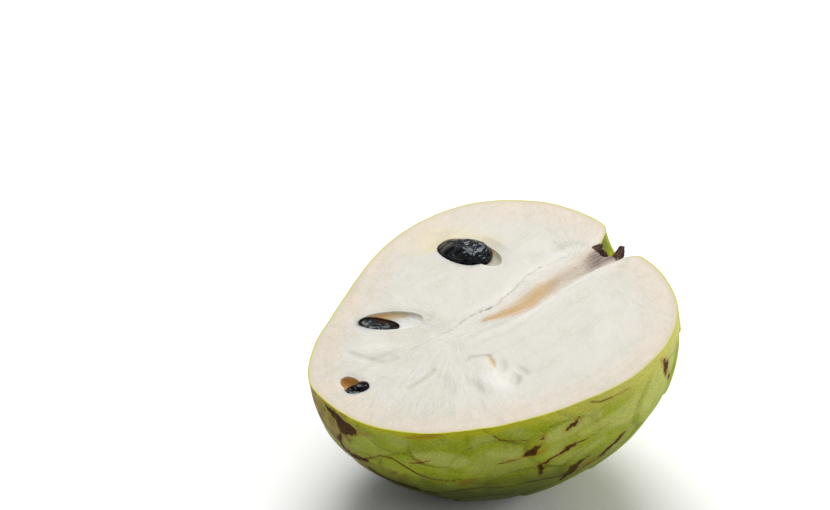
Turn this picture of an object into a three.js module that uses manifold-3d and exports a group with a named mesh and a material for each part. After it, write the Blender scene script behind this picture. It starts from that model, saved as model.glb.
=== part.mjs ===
// Half of a smooth-skinned custard apple (cherimoya), cut lengthwise through its stalk pit
// and lying on its rounded back.
//
// Millimetres. Every piece is shaped in the fruit's own frame, whose origin is the centre of
// its belly: +X runs to the stalk pit, +Y to the lobe with the hollow flank, and +Z out of
// the cut face, which is the plane z = 0. A direction from that centre is told by its polar
// angle, from the stalk pit (0) round to the tip (180 degrees), and its azimuth about X.
// The group "resting" then leans the half over onto the flat spot on its back, with +Z up.

import * as THREE from 'three';
import { mergeVertices } from 'three/addons/utils/BufferGeometryUtils.js';
import Module from 'manifold-3d';

const wasm = await Module();
wasm.setup();

// ---- Driving dimensions ----

// The fruit's radius at even steps of 22.5 degrees from the stalk pit round to the tip,
// along the two lobes that the cut opens and down the middle of the back.
const HOLLOW_LOBE = [43.5, 46.5, 49.5, 49.5, 45, 39.5, 38, 42, 46.5];
const ROUND_LOBE = [43.5, 47, 50.5, 50, 46.5, 45.5, 46.5, 47, 46.5];
const BACK = [43.5, 45.5, 46, 45, 46, 46, 46.5, 47.5, 46.5];

// The stalk pit: its depth, and its half width in degrees on each of those three sides.
const PIT_DEPTH = 6.5;
const PIT_HALF_ANGLES = [11, 5.5, 8];

// How the half lies: the stalk end raised, the hollow lobe raised, the height of the belly's
// centre above the surface it rests on, and that centre's place beside the row's origin.
const STALK_END_RAISED = 12.5;
const HOLLOW_LOBE_RAISED = 2.4;
const REST_HEIGHT = 44.4;
const BELLY_PLACE = [0.4, 0.3];

// The areoles: scales that overlap like roof tiles from the stalk end to the tip. Each rises
// by its tilt from its middle to its tip end, and its edge, from the start given as a share
// of the way out, drops by the step. They grow in between two angles from the stalk pit, and
// fade out within a short rise of the spot that is pressed flat.
const AREOLE_COUNT = 120;
const AREOLE_HALF_LENGTH = 13;
const AREOLE_HALF_WIDTH = 8.6;
const AREOLE_TILT = 0.5;
const AREOLE_STEP = 0.75;
const AREOLE_STEP_START = 0.88;
const AREOLE_GROW_ANGLES = [14, 32];
const AREOLE_FADE_RISE = 1;

// The scales' outlines are pulled out of true by slow waves, each given as [the share of the
// radius it pulls by, waves round the fruit, turn], one for each axis.
const AREOLE_PULLS = [[0.055, 5, 4.75], [0.055, 4, 0.88], [0.055, 6, 1.26]];

const RIND_THICKNESS = 1.3;
const GAP = 0.3;

// The core: [radius, place along X], on an axis that slants across the cut face.
const CORE_OUTLINE = [[1.2, -12], [2.9, -4], [4.1, 4], [5.4, 11], [5.8, 18], [5.4, 25], [4.8, 32.2]];
const CORE_TIP = -13.5;
const CORE_OFFSET = -2.9;
const CORE_SLANT = 0.15;

// The torn stalk: a plug in the pit's floor whose rim stands as a ragged collar, highest in
// a flap on the round lobe's side, which leans over the pit by a share of its height. Its
// rags are waves round the rim: [count, height, turn].
const SCAR_OUTLINE = [[3.6, 32.5], [4.3, 35], [4.6, 38.2], [3.6, 38.8], [2.6, 38], [1.6, 36.4]];
const SCAR_RADIUS = 4.6;
const SCAR_FLOOR = 36;
const SCAR_FOOT = 32.5;
const SCAR_OFFSET = 1.2;
const SCAR_RIM_START = 37.9;
const SCAR_FLAP_HEIGHT = 4.2;
const SCAR_FLAP_LEAN = 0.7;
const SCAR_RAGS = [[5, 0.45, 0], [9, 0.3, 1]];

// The seeds: one size, three places, slimmer at the outer end, and with squarer shoulders than
// an ellipsoid, whose boxiness is 2. Outward is the way the long axis points from the core,
// flank the way the width lies. Each has an opening beside it in the cut face, an ellipsoid
// with its centre, the direction of its length, and its half length, half width and depth.
const SEED_HALF_SIZE = { length: 8, width: 4.7, thickness: 3.4 };
const SEED_TAPER = 0.15;
const SEED_BOXINESS = 2.5;
const SEEDS = [
  {
    name: 'seed_upper',
    centre: [10, 27.3, -1.1],
    outward: [-0.39, 0.92, -0.14],
    flank: [0.92, 0.39, 0],
    opening: { centre: [13.4, 23.2, 0], along: [-0.12, 0.99, 0], halfSize: [7.8, 3.3, 1.8] },
  },
  {
    name: 'seed_middle',
    centre: [-22.5, 14.8, -3.9],
    outward: [-0.57, 0.82, 0.14],
    flank: [0.82, 0.57, 0],
    opening: { centre: [-18.4, 13.2, 0], along: [-0.785, 0.62, 0], halfSize: [8.5, 3.8, 1.7] },
  },
  {
    name: 'seed_lower',
    centre: [-37.6, -5.9, -7.6],
    outward: [0, 0, -1],
    flank: [0.95, -0.3, 0],
    opening: { centre: [-38.1, -3.2, 0], along: [0.1, -0.99, 0], halfSize: [3.5, 2.1, 2.6] },
  },
];

// How finely the round surfaces are divided.
const SKIN_ROWS = 66;
const INNER_ROWS = 22;
const ROW_CROWDING = 1.25;
const LATHE_SEGMENTS = 22;
const SEED_SEGMENTS = 16;
const SEED_ROWS = 12;

const DEG = Math.PI / 180;
const GOLDEN_ANGLE = Math.PI * (3 - Math.sqrt(5));
const MEAN_RADIUS = 46;
const BEYOND = 60;
const { smoothstep, clamp } = THREE.MathUtils;

// ---- The fruit's surface, as a radius for each direction from the belly's centre ----

const lean = new THREE.Quaternion().setFromEuler(
  new THREE.Euler(HOLLOW_LOBE_RAISED * DEG, -STALK_END_RAISED * DEG, 0, 'YXZ'),
);
const down = new THREE.Vector3(0, 0, -1).applyQuaternion(lean.clone().invert());

// A smooth curve through a profile's radii, level at both ends, where the profiles meet.
function profileRadius(profile, polar) {
  const last = profile.length - 1;
  const place = (polar / Math.PI) * last;
  const step = Math.min(Math.floor(place), last - 1);
  const t = place - step;
  const from = profile[step];
  const to = profile[step + 1];
  const slopeFrom = (to - profile[Math.abs(step - 1)]) / 2;
  const slopeTo = (profile[last - Math.abs(last - step - 2)] - from) / 2;
  const t2 = t * t;
  const t3 = t2 * t;
  return (2 * t3 - 3 * t2 + 1) * from + (t3 - 2 * t2 + t) * slopeFrom
    + (3 * t2 - 2 * t3) * to + (t3 - t2) * slopeTo;
}

// How far a value given for the hollow lobe, the round lobe and the back counts here.
function mixSides(values, azimuth) {
  const side = Math.cos(azimuth);
  const lobe = side > 0 ? values[0] : values[1];
  return lobe * side * side + values[2] * (1 - side * side);
}

function smoothRadius(direction) {
  const polar = Math.acos(clamp(direction.x, -1, 1));
  const azimuth = Math.atan2(direction.z, direction.y);
  const radii = [HOLLOW_LOBE, ROUND_LOBE, BACK].map((profile) => profileRadius(profile, polar));
  const pitAngle = mixSides(PIT_HALF_ANGLES, azimuth) * DEG;
  return mixSides(radii, azimuth) - PIT_DEPTH * Math.exp(-((polar / pitAngle) ** 4));
}

// The radius at which a direction meets the surface that the half rests on.
function floorRadius(direction) {
  const drop = direction.dot(down);
  return drop > 0 ? REST_HEIGHT / drop : Infinity;
}

const areoles = Array.from({ length: AREOLE_COUNT }, (_, index) => {
  const x = 1 - (2 * index + 1) / AREOLE_COUNT;
  const out = Math.sqrt(1 - x * x);
  const cos = Math.cos(index * GOLDEN_ANGLE);
  const sin = Math.sin(index * GOLDEN_ANGLE);
  return {
    centre: new THREE.Vector3(x, out * cos, out * sin),
    tipward: new THREE.Vector3(-out, x * cos, x * sin),
    across: new THREE.Vector3(0, -sin, cos),
  };
});

// A direction moved by the slow waves that pull the scales out of true.
function pulled({ x, y, z }) {
  const [pullX, pullY, pullZ] = AREOLE_PULLS.map(([share, waves, turn], axis) => {
    const across = [y, z, x][axis];
    return share * Math.sin(waves * across + turn);
  });
  return new THREE.Vector3(x + pullX, y + pullY, z + pullZ).normalize();
}

// The height of the scales: each is a tilted plate, highest at its rounded end towards the
// tip, where it steps down onto the next.
function areoleRelief(direction) {
  const place = pulled(direction);
  let relief = -AREOLE_STEP;
  for (const { centre, tipward, across } of areoles) {
    const lengthwise = (MEAN_RADIUS * place.dot(tipward)) / AREOLE_HALF_LENGTH;
    const crosswise = (MEAN_RADIUS * place.dot(across)) / AREOLE_HALF_WIDTH;
    const reach = Math.hypot(lengthwise, crosswise);
    if (reach < 1 && place.dot(centre) > 0) {
      const edge = smoothstep(reach, AREOLE_STEP_START, 1);
      relief = Math.max(relief, AREOLE_TILT * lengthwise - AREOLE_STEP * edge);
    }
  }
  return relief;
}

// The skin: scales fade out round the stalk pit and where the back is pressed flat.
function skinRadius(direction) {
  const smooth = smoothRadius(direction);
  const floor = floorRadius(direction);
  const polar = Math.acos(clamp(direction.x, -1, 1));
  const [bare, scaly] = AREOLE_GROW_ANGLES;
  const grown = smoothstep(polar, bare * DEG, scaly * DEG);
  const fade = grown * smoothstep(floor - smooth, 0, AREOLE_FADE_RISE);
  return Math.min(smooth + fade * areoleRelief(direction), floor);
}

// ---- Solids ----

function solidFrom(geometry) {
  geometry.deleteAttribute('normal');
  geometry.deleteAttribute('uv');
  const merged = mergeVertices(geometry);
  return new wasm.Manifold(new wasm.Mesh({
    numProp: 3,
    vertProperties: new Float32Array(merged.attributes.position.array),
    triVerts: new Uint32Array(merged.index.array),
  }));
}

// A closed body round the X axis whose rows crowd towards the stalk pit.
function bodyFrom(rows, radiusAt) {
  const columns = 2 * rows;
  const geometry = new THREE.SphereGeometry(1, columns, rows);
  const position = geometry.attributes.position;
  const direction = new THREE.Vector3();
  for (let index = 0; index < position.count; index++) {
    direction.fromBufferAttribute(position, index);
    const polar = Math.PI * (Math.acos(clamp(direction.y, -1, 1)) / Math.PI) ** ROW_CROWDING;
    const azimuth = Math.atan2(direction.x, direction.z) + Math.PI / columns;
    const out = Math.sin(polar);
    direction.set(Math.cos(polar), out * Math.cos(azimuth), out * Math.sin(azimuth));
    direction.multiplyScalar(radiusAt(direction));
    position.setXYZ(index, direction.x, direction.y, direction.z);
  }
  return solidFrom(geometry);
}

// The body inside the skin, at a depth below it.
function innerBody(depth) {
  return bodyFrom(
    INNER_ROWS,
    (direction) => Math.min(smoothRadius(direction), floorRadius(direction)) - depth,
  );
}

// A turned body with its axis along X, from an outline of [radius, place along X].
function turnedBody(outline, shapeVertex) {
  const points = outline.map(([radius, place]) => new THREE.Vector2(radius, place));
  const geometry = new THREE.LatheGeometry(points, LATHE_SEGMENTS);
  geometry.rotateZ(-Math.PI / 2);
  const position = geometry.attributes.position;
  const vertex = new THREE.Vector3();
  for (let index = 0; index < position.count; index++) {
    shapeVertex(vertex.fromBufferAttribute(position, index));
    position.setXYZ(index, vertex.x, vertex.y, vertex.z);
  }
  return solidFrom(geometry);
}

function oval(halfSize, centre, along, flank, taper = 0, boxiness = 2) {
  const geometry = new THREE.SphereGeometry(1, SEED_SEGMENTS, SEED_ROWS);
  const position = geometry.attributes.position;
  const unit = new THREE.Vector3();
  for (let index = 0; index < position.count; index++) {
    unit.fromBufferAttribute(position, index);
    const powers = unit.toArray().map((share) => Math.abs(share) ** boxiness);
    unit.multiplyScalar((powers[0] + powers[1] + powers[2]) ** (-1 / boxiness));
    const slim = 1 - taper * unit.y;
    position.setXYZ(
      index,
      unit.x * halfSize[1] * slim,
      unit.y * halfSize[0],
      unit.z * halfSize[2] * slim,
    );
  }
  const lengthAxis = new THREE.Vector3(...along).normalize();
  const widthAxis = new THREE.Vector3(...flank).projectOnPlane(lengthAxis).normalize();
  const depthAxis = new THREE.Vector3().crossVectors(widthAxis, lengthAxis);
  geometry.applyMatrix4(
    new THREE.Matrix4().makeBasis(widthAxis, lengthAxis, depthAxis).setPosition(...centre),
  );
  return solidFrom(geometry);
}

// The half that is kept: all below the cut, as a box that reaches well beyond the fruit.
const lowerHalf = solidFrom(
  new THREE.BoxGeometry(2 * BEYOND, 2 * BEYOND, BEYOND).translate(0, 0, -BEYOND / 2),
);

// ---- Pieces ----

function coreBody(grow) {
  const outline = CORE_OUTLINE.map(([radius, place]) => new THREE.Vector2(radius + grow, place));
  const curve = new THREE.SplineCurve(outline).getPoints(3 * outline.length);
  const end = CORE_OUTLINE.at(-1);
  return turnedBody(
    [
      [0, CORE_TIP - grow],
      ...curve.map(({ x, y }) => [x, y]),
      [end[0] + grow, end[1] + grow],
      [0, end[1] + grow],
    ],
    (vertex) => {
      vertex.y += CORE_OFFSET + CORE_SLANT * vertex.x;
    },
  );
}

function stalkScar() {
  return turnedBody([[0, SCAR_FOOT], ...SCAR_OUTLINE, [0, SCAR_FLOOR]], (vertex) => {
    if (vertex.x > SCAR_RIM_START) {
      const azimuth = Math.atan2(vertex.z, vertex.y);
      const flap = SCAR_FLAP_HEIGHT * ((1 - Math.cos(azimuth)) / 2) ** 2;
      vertex.x += flap;
      vertex.y += SCAR_FLAP_LEAN * flap;
      for (const [count, height, turn] of SCAR_RAGS) {
        vertex.x += height * Math.sin(count * azimuth + turn);
      }
    }
    vertex.y += SCAR_OFFSET;
  });
}

// The hole that the torn stalk leaves through the rind and into the flesh.
function stalkHole() {
  const radius = SCAR_RADIUS + GAP;
  const geometry = new THREE.CylinderGeometry(radius, radius, BEYOND, LATHE_SEGMENTS);
  geometry.rotateZ(-Math.PI / 2);
  geometry.translate(SCAR_FOOT - GAP + BEYOND / 2, SCAR_OFFSET, 0);
  return solidFrom(geometry);
}

function seedBody(seed, grow) {
  const { length, width, thickness } = SEED_HALF_SIZE;
  const halfSize = [length + grow, width + grow, thickness + grow];
  return oval(halfSize, seed.centre, seed.outward, seed.flank, SEED_TAPER, SEED_BOXINESS);
}

function seedPocket(seed) {
  const { centre, along, halfSize } = seed.opening;
  const flank = [-along[1], along[0], 0];
  return seedBody(seed, GAP).add(oval(halfSize, centre, along, flank));
}

function rind() {
  return bodyFrom(SKIN_ROWS, skinRadius)
    .subtract(innerBody(RIND_THICKNESS))
    .intersect(lowerHalf)
    .subtract(stalkHole());
}

function flesh() {
  const pulp = innerBody(RIND_THICKNESS + GAP)
    .intersect(lowerHalf)
    .subtract(stalkHole())
    .subtract(coreBody(GAP));
  return SEEDS.reduce((rest, seed) => rest.subtract(seedPocket(seed)), pulp);
}

// ---- The scene graph ----

const skinGreen = new THREE.MeshStandardMaterial({ color: 0x8ea653, roughness: 0.55, metalness: 0 });
const pulpWhite = new THREE.MeshStandardMaterial({ color: 0xe9e7de, roughness: 0.45, metalness: 0 });
const coreTan = new THREE.MeshStandardMaterial({ color: 0xdcc39a, roughness: 0.6, metalness: 0 });
const driedBrown = new THREE.MeshStandardMaterial({ color: 0x4a2f26, roughness: 0.9, metalness: 0 });
const seedBlack = new THREE.MeshStandardMaterial({ color: 0x17181a, roughness: 0.25, metalness: 0 });

function pieceFrom(name, solid, material) {
  const { vertProperties, triVerts } = solid.getMesh();
  const geometry = new THREE.BufferGeometry();
  geometry.setAttribute('position', new THREE.BufferAttribute(vertProperties, 3));
  geometry.setIndex(new THREE.BufferAttribute(triVerts, 1));
  geometry.computeVertexNormals();
  const mesh = new THREE.Mesh(geometry, material);
  mesh.name = name;
  return mesh;
}

const resting = new THREE.Group();
resting.quaternion.copy(lean);
resting.position.set(...BELLY_PLACE, REST_HEIGHT);
resting.add(
  pieceFrom('rind', rind(), skinGreen),
  pieceFrom('flesh', flesh(), pulpWhite),
  pieceFrom('core', coreBody(0).intersect(lowerHalf), coreTan),
  pieceFrom('stalk_scar', stalkScar().intersect(lowerHalf), driedBrown),
  ...SEEDS.map((seed) => pieceFrom(seed.name, seedBody(seed, 0), seedBlack)),
);

const fruitHalf = new THREE.Group();
fruitHalf.add(resting);

export default fruitHalf;
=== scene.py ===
"""Half a smooth-skinned custard apple, shaped and finished around its CAD model.

The fruit's own frame has its origin at the centre of the belly: +X runs to the stalk pit,
+Y to the lobe with the hollow flank and +Z out of the cut, which is the plane z = 0. Every
piece is shaped there, in metres, and is then leaned over onto the flat spot on its back.
"""

import math

import bpy
import numpy as np
from bpy.props import (
    FloatProperty,
    FloatVectorProperty,
    IntProperty,
    PointerProperty,
)
from mathutils import Matrix, Vector


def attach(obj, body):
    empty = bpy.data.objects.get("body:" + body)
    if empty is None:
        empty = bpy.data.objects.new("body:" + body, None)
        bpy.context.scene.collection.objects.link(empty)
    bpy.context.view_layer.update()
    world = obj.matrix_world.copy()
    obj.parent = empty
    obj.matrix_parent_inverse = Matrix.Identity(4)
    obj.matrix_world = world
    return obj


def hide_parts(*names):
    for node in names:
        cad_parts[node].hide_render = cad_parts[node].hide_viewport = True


bl_info = {
    "name": "Custard apple half",
    "version": (1, 0, 0),
    "blender": (4, 5, 0),
    "location": "View3D > Sidebar > Custard apple",
    "description": "Builds the rind, flesh, core, stalk scar and seeds of a halved custard apple",
    "category": "Add Mesh",
}

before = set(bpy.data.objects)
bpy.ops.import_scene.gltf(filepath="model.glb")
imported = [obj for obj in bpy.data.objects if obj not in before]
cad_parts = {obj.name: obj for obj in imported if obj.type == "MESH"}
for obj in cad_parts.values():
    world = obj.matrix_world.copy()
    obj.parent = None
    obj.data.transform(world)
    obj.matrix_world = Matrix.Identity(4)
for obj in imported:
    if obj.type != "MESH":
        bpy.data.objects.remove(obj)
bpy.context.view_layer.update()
BODY = "root"

MM = 0.001
GOLDEN_ANGLE = math.pi * (3 - math.sqrt(5))
GOLDEN_SHARE = (math.sqrt(5) - 1) / 2
MEAN_RADIUS = 46 * MM

# The numbers that scramble a cell's place into its own height, for smooth noise.
NOISE_PRIMES = (73856093, 19349663, 83492791)
NOISE_MIXERS = ((13, 1274126177), (15, 668265263))
NOISE_LARGEST = 0x7FFFFFFF

# Each turn of the noise starts this many cells further on, so that no two turns look alike.
NOISE_TURN = 17.3

# What is left between pieces that are grown together, too fine to see.
SEAM = 0.005 * MM

# How finely the pieces are divided: rows and columns, and cells along the cut's side.
INSIDE_GRID = (96, 96)
CORE_GRID = (90, 48)
POCKET_GRID = (48, 64)
SEED_GRID = (90, 120)
SCAR_GRID = (90, 160)
HOLE_COLUMNS = 64
CUT_CELLS = 300

# An edge stays sharp where its faces turn by more than this, in degrees.
SOFT_CREASE = 50
HARD_CREASE = 60

# The block below the cut, which reaches past the fruit: half its side and its depth, in mm.
CUT_HALF_SIDE = 52
CUT_DEPTH = 60


# ---- Sizes and colours that a user would change ----


def linear(code):
    """The linear colour of an sRGB hex code."""
    parts = [int(code[i : i + 2], 16) / 255 for i in (1, 3, 5)]
    return [c / 12.92 if c <= 0.04045 else ((c + 0.055) / 1.055) ** 2.4 for c in parts]


def colour(name, code, description):
    """A colour property, from an sRGB hex code."""
    return FloatVectorProperty(
        name=name, description=description, subtype="COLOR", min=0, max=1, default=linear(code)
    )


def length(name, size_mm, description):
    """A length property, from millimetres."""
    return FloatProperty(
        name=name, description=description, unit="LENGTH", precision=5, default=size_mm * MM
    )


def profile(name, radii_mm):
    """A profile of the fruit: radii at even steps from the stalk pit round to the tip."""
    return FloatVectorProperty(
        name=name,
        description="Radii from the belly's centre, at even steps from the stalk pit to the tip",
        size=9,
        unit="LENGTH",
        precision=5,
        default=[radius * MM for radius in radii_mm],
    )


class FruitShape(bpy.types.PropertyGroup):
    """The outer form of the half and how it lies."""

    hollow_lobe: profile("Hollow lobe", (43.5, 46.5, 49.5, 49.5, 45, 39.5, 38, 42, 46.5))
    round_lobe: profile("Round lobe", (43.5, 47, 50.5, 50, 46.5, 45.5, 46.5, 47, 46.5))
    back: profile("Back", (43.5, 45.5, 46, 45, 46, 46, 46.5, 47.5, 46.5))
    pit_depth: length("Pit depth", 6.5, "How deep the stalk pit sinks")
    pit_angles: FloatVectorProperty(
        name="Pit half angles",
        description="Half width of the pit towards the hollow lobe, the round lobe and the back",
        size=3,
        unit="ROTATION",
        default=[math.radians(angle) for angle in (11, 5.5, 8)],
    )
    lean: FloatVectorProperty(
        name="Lean",
        description="How far the hollow lobe and the stalk end are raised",
        size=2,
        unit="ROTATION",
        default=[math.radians(2.4), math.radians(12.5)],
    )
    belly_place: FloatVectorProperty(
        name="Belly place",
        description="Where the belly's centre stands, above the surface it rests on",
        size=3,
        subtype="TRANSLATION",
        unit="LENGTH",
        precision=5,
        default=[0.4 * MM, 0.3 * MM, 44.4 * MM],
    )
    rind_thickness: length("Rind thickness", 1.3, "From the skin in to the flesh")
    skin_rows: IntProperty(name="Skin rows", description="Rows from pit to tip", default=290)
    skin_columns: IntProperty(
        name="Skin columns", description="Columns round the half's back", default=270
    )


class Areoles(bpy.types.PropertyGroup):
    """The overlapping scales of the skin."""

    count: IntProperty(name="Count", description="Scales on the whole fruit", default=120)
    half_length: length("Half length", 13, "Towards the tip, from a scale's middle")
    half_width: length("Half width", 8.6, "Across, from a scale's middle")
    tilt: length("Tilt", 0.5, "How far a scale rises from its middle to its tip end")
    step: length("Step", 0.75, "How far a scale's edge drops to the next one")
    step_start: FloatProperty(
        name="Step start", description="Share of the way out where the edge starts", default=0.88
    )
    grow_angles: FloatVectorProperty(
        name="Grow angles",
        description="Between these angles from the stalk pit the scales grow in",
        size=2,
        unit="ROTATION",
        default=[math.radians(14), math.radians(32)],
    )
    fade_rise: length("Fade rise", 1, "Rise of the skin over which scales leave the flat spot")
    pull: FloatProperty(
        name="Pull",
        description="Share of the radius by which slow waves pull the scales out of true",
        default=0.055,
    )


class SkinLook(bpy.types.PropertyGroup):
    """Colours of the living skin and of what marks it."""

    green: colour("Green", "#8EA113", "The skin between the pale scales")
    pale: colour("Pale", "#BEC272", "The waxy bloom on the scales")
    lime: colour("Lime", "#BFBE14", "The thin bright skin along the cut")
    sunny: colour("Sunny", "#CFC96C", "The same skin near the stalk, where it is paler")
    # Olive is also painted as shade in the scales' valleys and over the stalk pit's wall.
    olive: colour("Olive", "#434D08", "The valleys at the scales' edges")
    # The shade colour is painted shade, darkening the underside where the fruit's own shadow falls.
    shade: colour("Shade", "#2A3104", "The underside, which grew away from the light")
    cork: colour("Cork", "#38200F", "Healed scars")
    tan: colour("Tan", "#966E0E", "Rubbed and sunburnt skin")
    section: colour("Section", "#D3C9B4", "The rind where it is cut through")
    speckle: length("Speckle", 0.45, "Spacing of the fine dots in the skin")


class PulpLook(bpy.types.PropertyGroup):
    """Colours of the flesh and the core."""

    white: colour("White", "#D0CCC2", "The ripe pulp")
    cream: colour("Cream", "#D3C6B5", "The firmer pulp next to the rind")
    # Glassy is also painted as shade into the sunk dimples.
    glassy: colour("Glassy", "#C3C3B4", "Pulp that is soaked and lets light through")
    amber: colour("Amber", "#DDA048", "The dry wall of a seed's pocket")
    tan: colour("Tan", "#DCCB9C", "The skin that lines a pocket")
    # Crease is also painted as shade down the upper seed's pocket.
    crease: colour("Crease", "#98905F", "The bottom of a crack")
    fibre: colour("Fibre", "#C49A50", "The tan fibres up the middle of the core")
    bruise: colour("Bruise", "#66504F", "The purplish fibres next to the stalk")
    grain: length("Grain", 0.9, "Width of the pulp's fibres")


class SeedLook(bpy.types.PropertyGroup):
    """The seeds' size and finish."""

    half_size: FloatVectorProperty(
        name="Half size",
        description="Half of a seed's length, width and thickness",
        size=3,
        subtype="XYZ_LENGTH",
        precision=5,
        default=[8 * MM, 4.7 * MM, 3.4 * MM],
    )
    taper: FloatProperty(
        name="Taper", description="How much slimmer the outer end is than the inner", default=0.15
    )
    black: colour("Black", "#0B0E11", "The seed coat")
    worn: colour("Worn", "#171514", "The seed coat in its pits and creases")
    boxiness: FloatProperty(
        name="Boxiness", description="2 for a plain oval, more for squarer shoulders", default=2.5
    )


class ScarLook(bpy.types.PropertyGroup):
    """Colours of the torn stalk."""

    dark: colour("Dark", "#22110F", "The crust in its cracks")
    brown: colour("Brown", "#6E4638", "The crust's dry fibres")


class StageLook(bpy.types.PropertyGroup):
    """The studio round the fruit."""

    floor: colour("Floor", "#F4F4F4", "The table")
    key_power: FloatProperty(
        name="Key power", description="Softbox overhead", subtype="POWER", default=18.5
    )
    side_power: FloatProperty(
        name="Side power", description="Softbox on the camera's right", subtype="POWER", default=9
    )
    fill_power: FloatProperty(
        name="Fill power", description="Softbox beside the camera", subtype="POWER", default=1
    )
    sky: FloatProperty(name="Sky", description="Strength of the white surroundings", default=0.32)
    camera_turn: FloatProperty(
        name="Camera turn", description="Azimuth", subtype="ANGLE", default=math.radians(-26.8)
    )
    camera_rise: FloatProperty(
        name="Camera rise", description="Elevation", subtype="ANGLE", default=math.radians(27)
    )
    distance: FloatProperty(
        name="Distance", description="From the aim", unit="LENGTH", default=0.7
    )
    lens: FloatProperty(name="Lens", description="In millimetres", default=120.8)


class CustardApple(bpy.types.PropertyGroup):
    """Everything that the operators read."""

    fruit: PointerProperty(type=FruitShape)
    areoles: PointerProperty(type=Areoles)
    skin: PointerProperty(type=SkinLook)
    pulp: PointerProperty(type=PulpLook)
    seed: PointerProperty(type=SeedLook)
    scar: PointerProperty(type=ScarLook)
    stage: PointerProperty(type=StageLook)


def settings():
    """The scene's own copy of the sizes and colours."""
    return bpy.context.scene.custard_apple


# ---- Places on the fruit, in its own frame: lengths are in millimetres here ----

# The core where the cut opens it: [place along X, edge on the round lobe's side, edge on the
# hollow lobe's side].
CORE_EDGES = (
    (-12.8, -2.9, -1.7),
    (-8, -3.9, -0.6),
    (-2, -5.2, 0.8),
    (4, -6.7, 1.0),
    (9, -7.2, 2.5),
    (14, -6.6, 4.8),
    (20, -5.5, 6.7),
    (26, -4.0, 6.9),
    (32.49, -3.2, 7.2),
)

# The core's blunt start past its first edge, and how far on it is as wide as its edges.
CORE_NOSE = 0.8
CORE_SWELL = 2.4

# Light goes deep into the pulp, but not within the first of these distances from a seam, and
# fully only from the second on. The pulp is whiter beside the core within the same distances.
SEAM_BAND = (0.5, 5)

# The pulp's fibres run out from the core between these places along X. The noise that draws
# them goes round in a wheel of this radius, and this share as fast along the fibres.
FIBRE_START, FIBRE_END = -8, 30
FIBRE_WHEEL = 14
FIBRE_STRETCH = 0.12

# The seeds: centre, the way the long axis points from the core, the way the width lies, and
# the opening beside each: its centre, the way it runs, and its half length, width and depth.
SEEDS = {
    "seed_upper": {
        "centre": (10, 27.3, -1.1),
        "outward": (-0.39, 0.92, -0.14),
        "flank": (0.92, 0.39, 0),
        "opening": ((13.4, 23.2, 0), (-0.12, 0.99, 0), (7.8, 3.3, 1.8)),
    },
    "seed_middle": {
        "centre": (-22.5, 14.8, -3.9),
        "outward": (-0.57, 0.82, 0.14),
        "flank": (0.82, 0.57, 0),
        "opening": ((-18.4, 13.2, 0), (-0.785, 0.62, 0), (8.5, 3.8, 1.7)),
    },
    "seed_lower": {
        "centre": (-37.6, -5.9, -7.6),
        "outward": (0, 0, -1),
        "flank": (0.95, -0.3, 0),
        "opening": ((-38.1, -3.2, 0), (0.1, -0.99, 0), (3.5, 2.1, 2.6)),
    },
}

# The room that each seed has in its pocket, all round.
POCKET_ROOM = 0.3

# A seed's coat: its lumps of [size, rise, turn], and how deep its pits and its keel are and
# how far it is drawn in, so that it keeps within its size, all as shares of the seed's size.
SEED_LUMPS = ((3.4, 0.03, 0), (0.9, 0.012, 6))
SEED_PIT = 0.08
SEED_KEEL = 0.035
SEED_DRAWN_IN = 0.03

# Dirt lies in the coat's dents and as grit: the size of the lumps that place each of them,
# and the heights of those lumps between which it comes in.
DENT_DIRT = (1.5, (0.5, 0.9))
GRIT_DIRT = (0.6, (-0.6, 0.1))

# How much fine grit is left on each seed's coat.
SEED_GRIT = {"seed_upper": 0.0, "seed_middle": 0.9, "seed_lower": 0.2}

# The slow waves that pull the scales out of true, on each axis: waves round the fruit, turn.
AREOLE_WAVES = ((5, 4.75), (4, 0.88), (6, 1.26))

# How far each pocket's wall is tinted: tan all along its upper side, gold at its outer end,
# the share of that gold on the rest of the wall, and a halo of painted shade: a tan band on the cut
# beyond the seed, with the crease colour painted as shade down its pocket.
POCKET_TINTS = {
    "seed_upper": (0.9, 0.0, 1.0, 0.6),
    "seed_middle": (0.95, 0.8, 0.15, 0.0),
    "seed_lower": (1.0, 1.0, 0.85, 0.0),
}

# The colours of the cut face fade out between these heights. Those of a pocket come in
# between these distances inside the edge of its opening, and these depths down its wall.
FACE_PAINT = (-1.6, -0.8)
POCKET_RIM = (-0.8, 0.2)
POCKET_WALL = (0.2, 1.0)

# The way across the cut to the side of each pocket where its wall is dry and tan.
UPPER_SIDE = (0.45, 0.89)

# The torn stalk: how far it is off the fruit's axis, its radius, and where its foot, its floor
# and its ragged rim start along X.
SCAR_OFFSET = 1.2
SCAR_RADIUS = 4.6
SCAR_FOOT = 32.5
SCAR_FLOOR = 36
SCAR_RIM_START = 37.9

# Its outline: [radius, place along X] from its foot over the rim to its floor.
SCAR_OUTLINE = (
    (0, SCAR_FOOT),
    (SCAR_RADIUS, SCAR_FOOT),
    (SCAR_RADIUS, 38.2),
    (3.6, 38.8),
    (2.6, 38),
    (1.6, 36.4),
    (0, SCAR_FLOOR),
)

# The rim's flap, highest on the round lobe's side, with how far it leans in for its height, and
# the rim's rags: how many go round, their height and their turn.
SCAR_FLAP_HEIGHT = 4.2
SCAR_FLAP_LEAN = 0.7
SCAR_RAGS = ((5, 0.45, 0), (9, 0.3, 1))

# Its crust is rough from the first of these places along X on, and fully so from the second:
# lumps of two sizes, the second lower, which rise by this much at most.
SCAR_CRUST = (35, 37.5)
SCAR_LUMPS = (1.3, 0.5)
SCAR_LUMP_RISE = 0.5

# It dries between these places along X, and on the hollow lobe's side these lengths sooner.
SCAR_DRIES = (37.2, 39.4)
SCAR_DRIES_SOONER = (1.6, 2.6)

# The hole that the stalk leaves is cut out to here, well past the skin.
HOLE_END = 60

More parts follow.
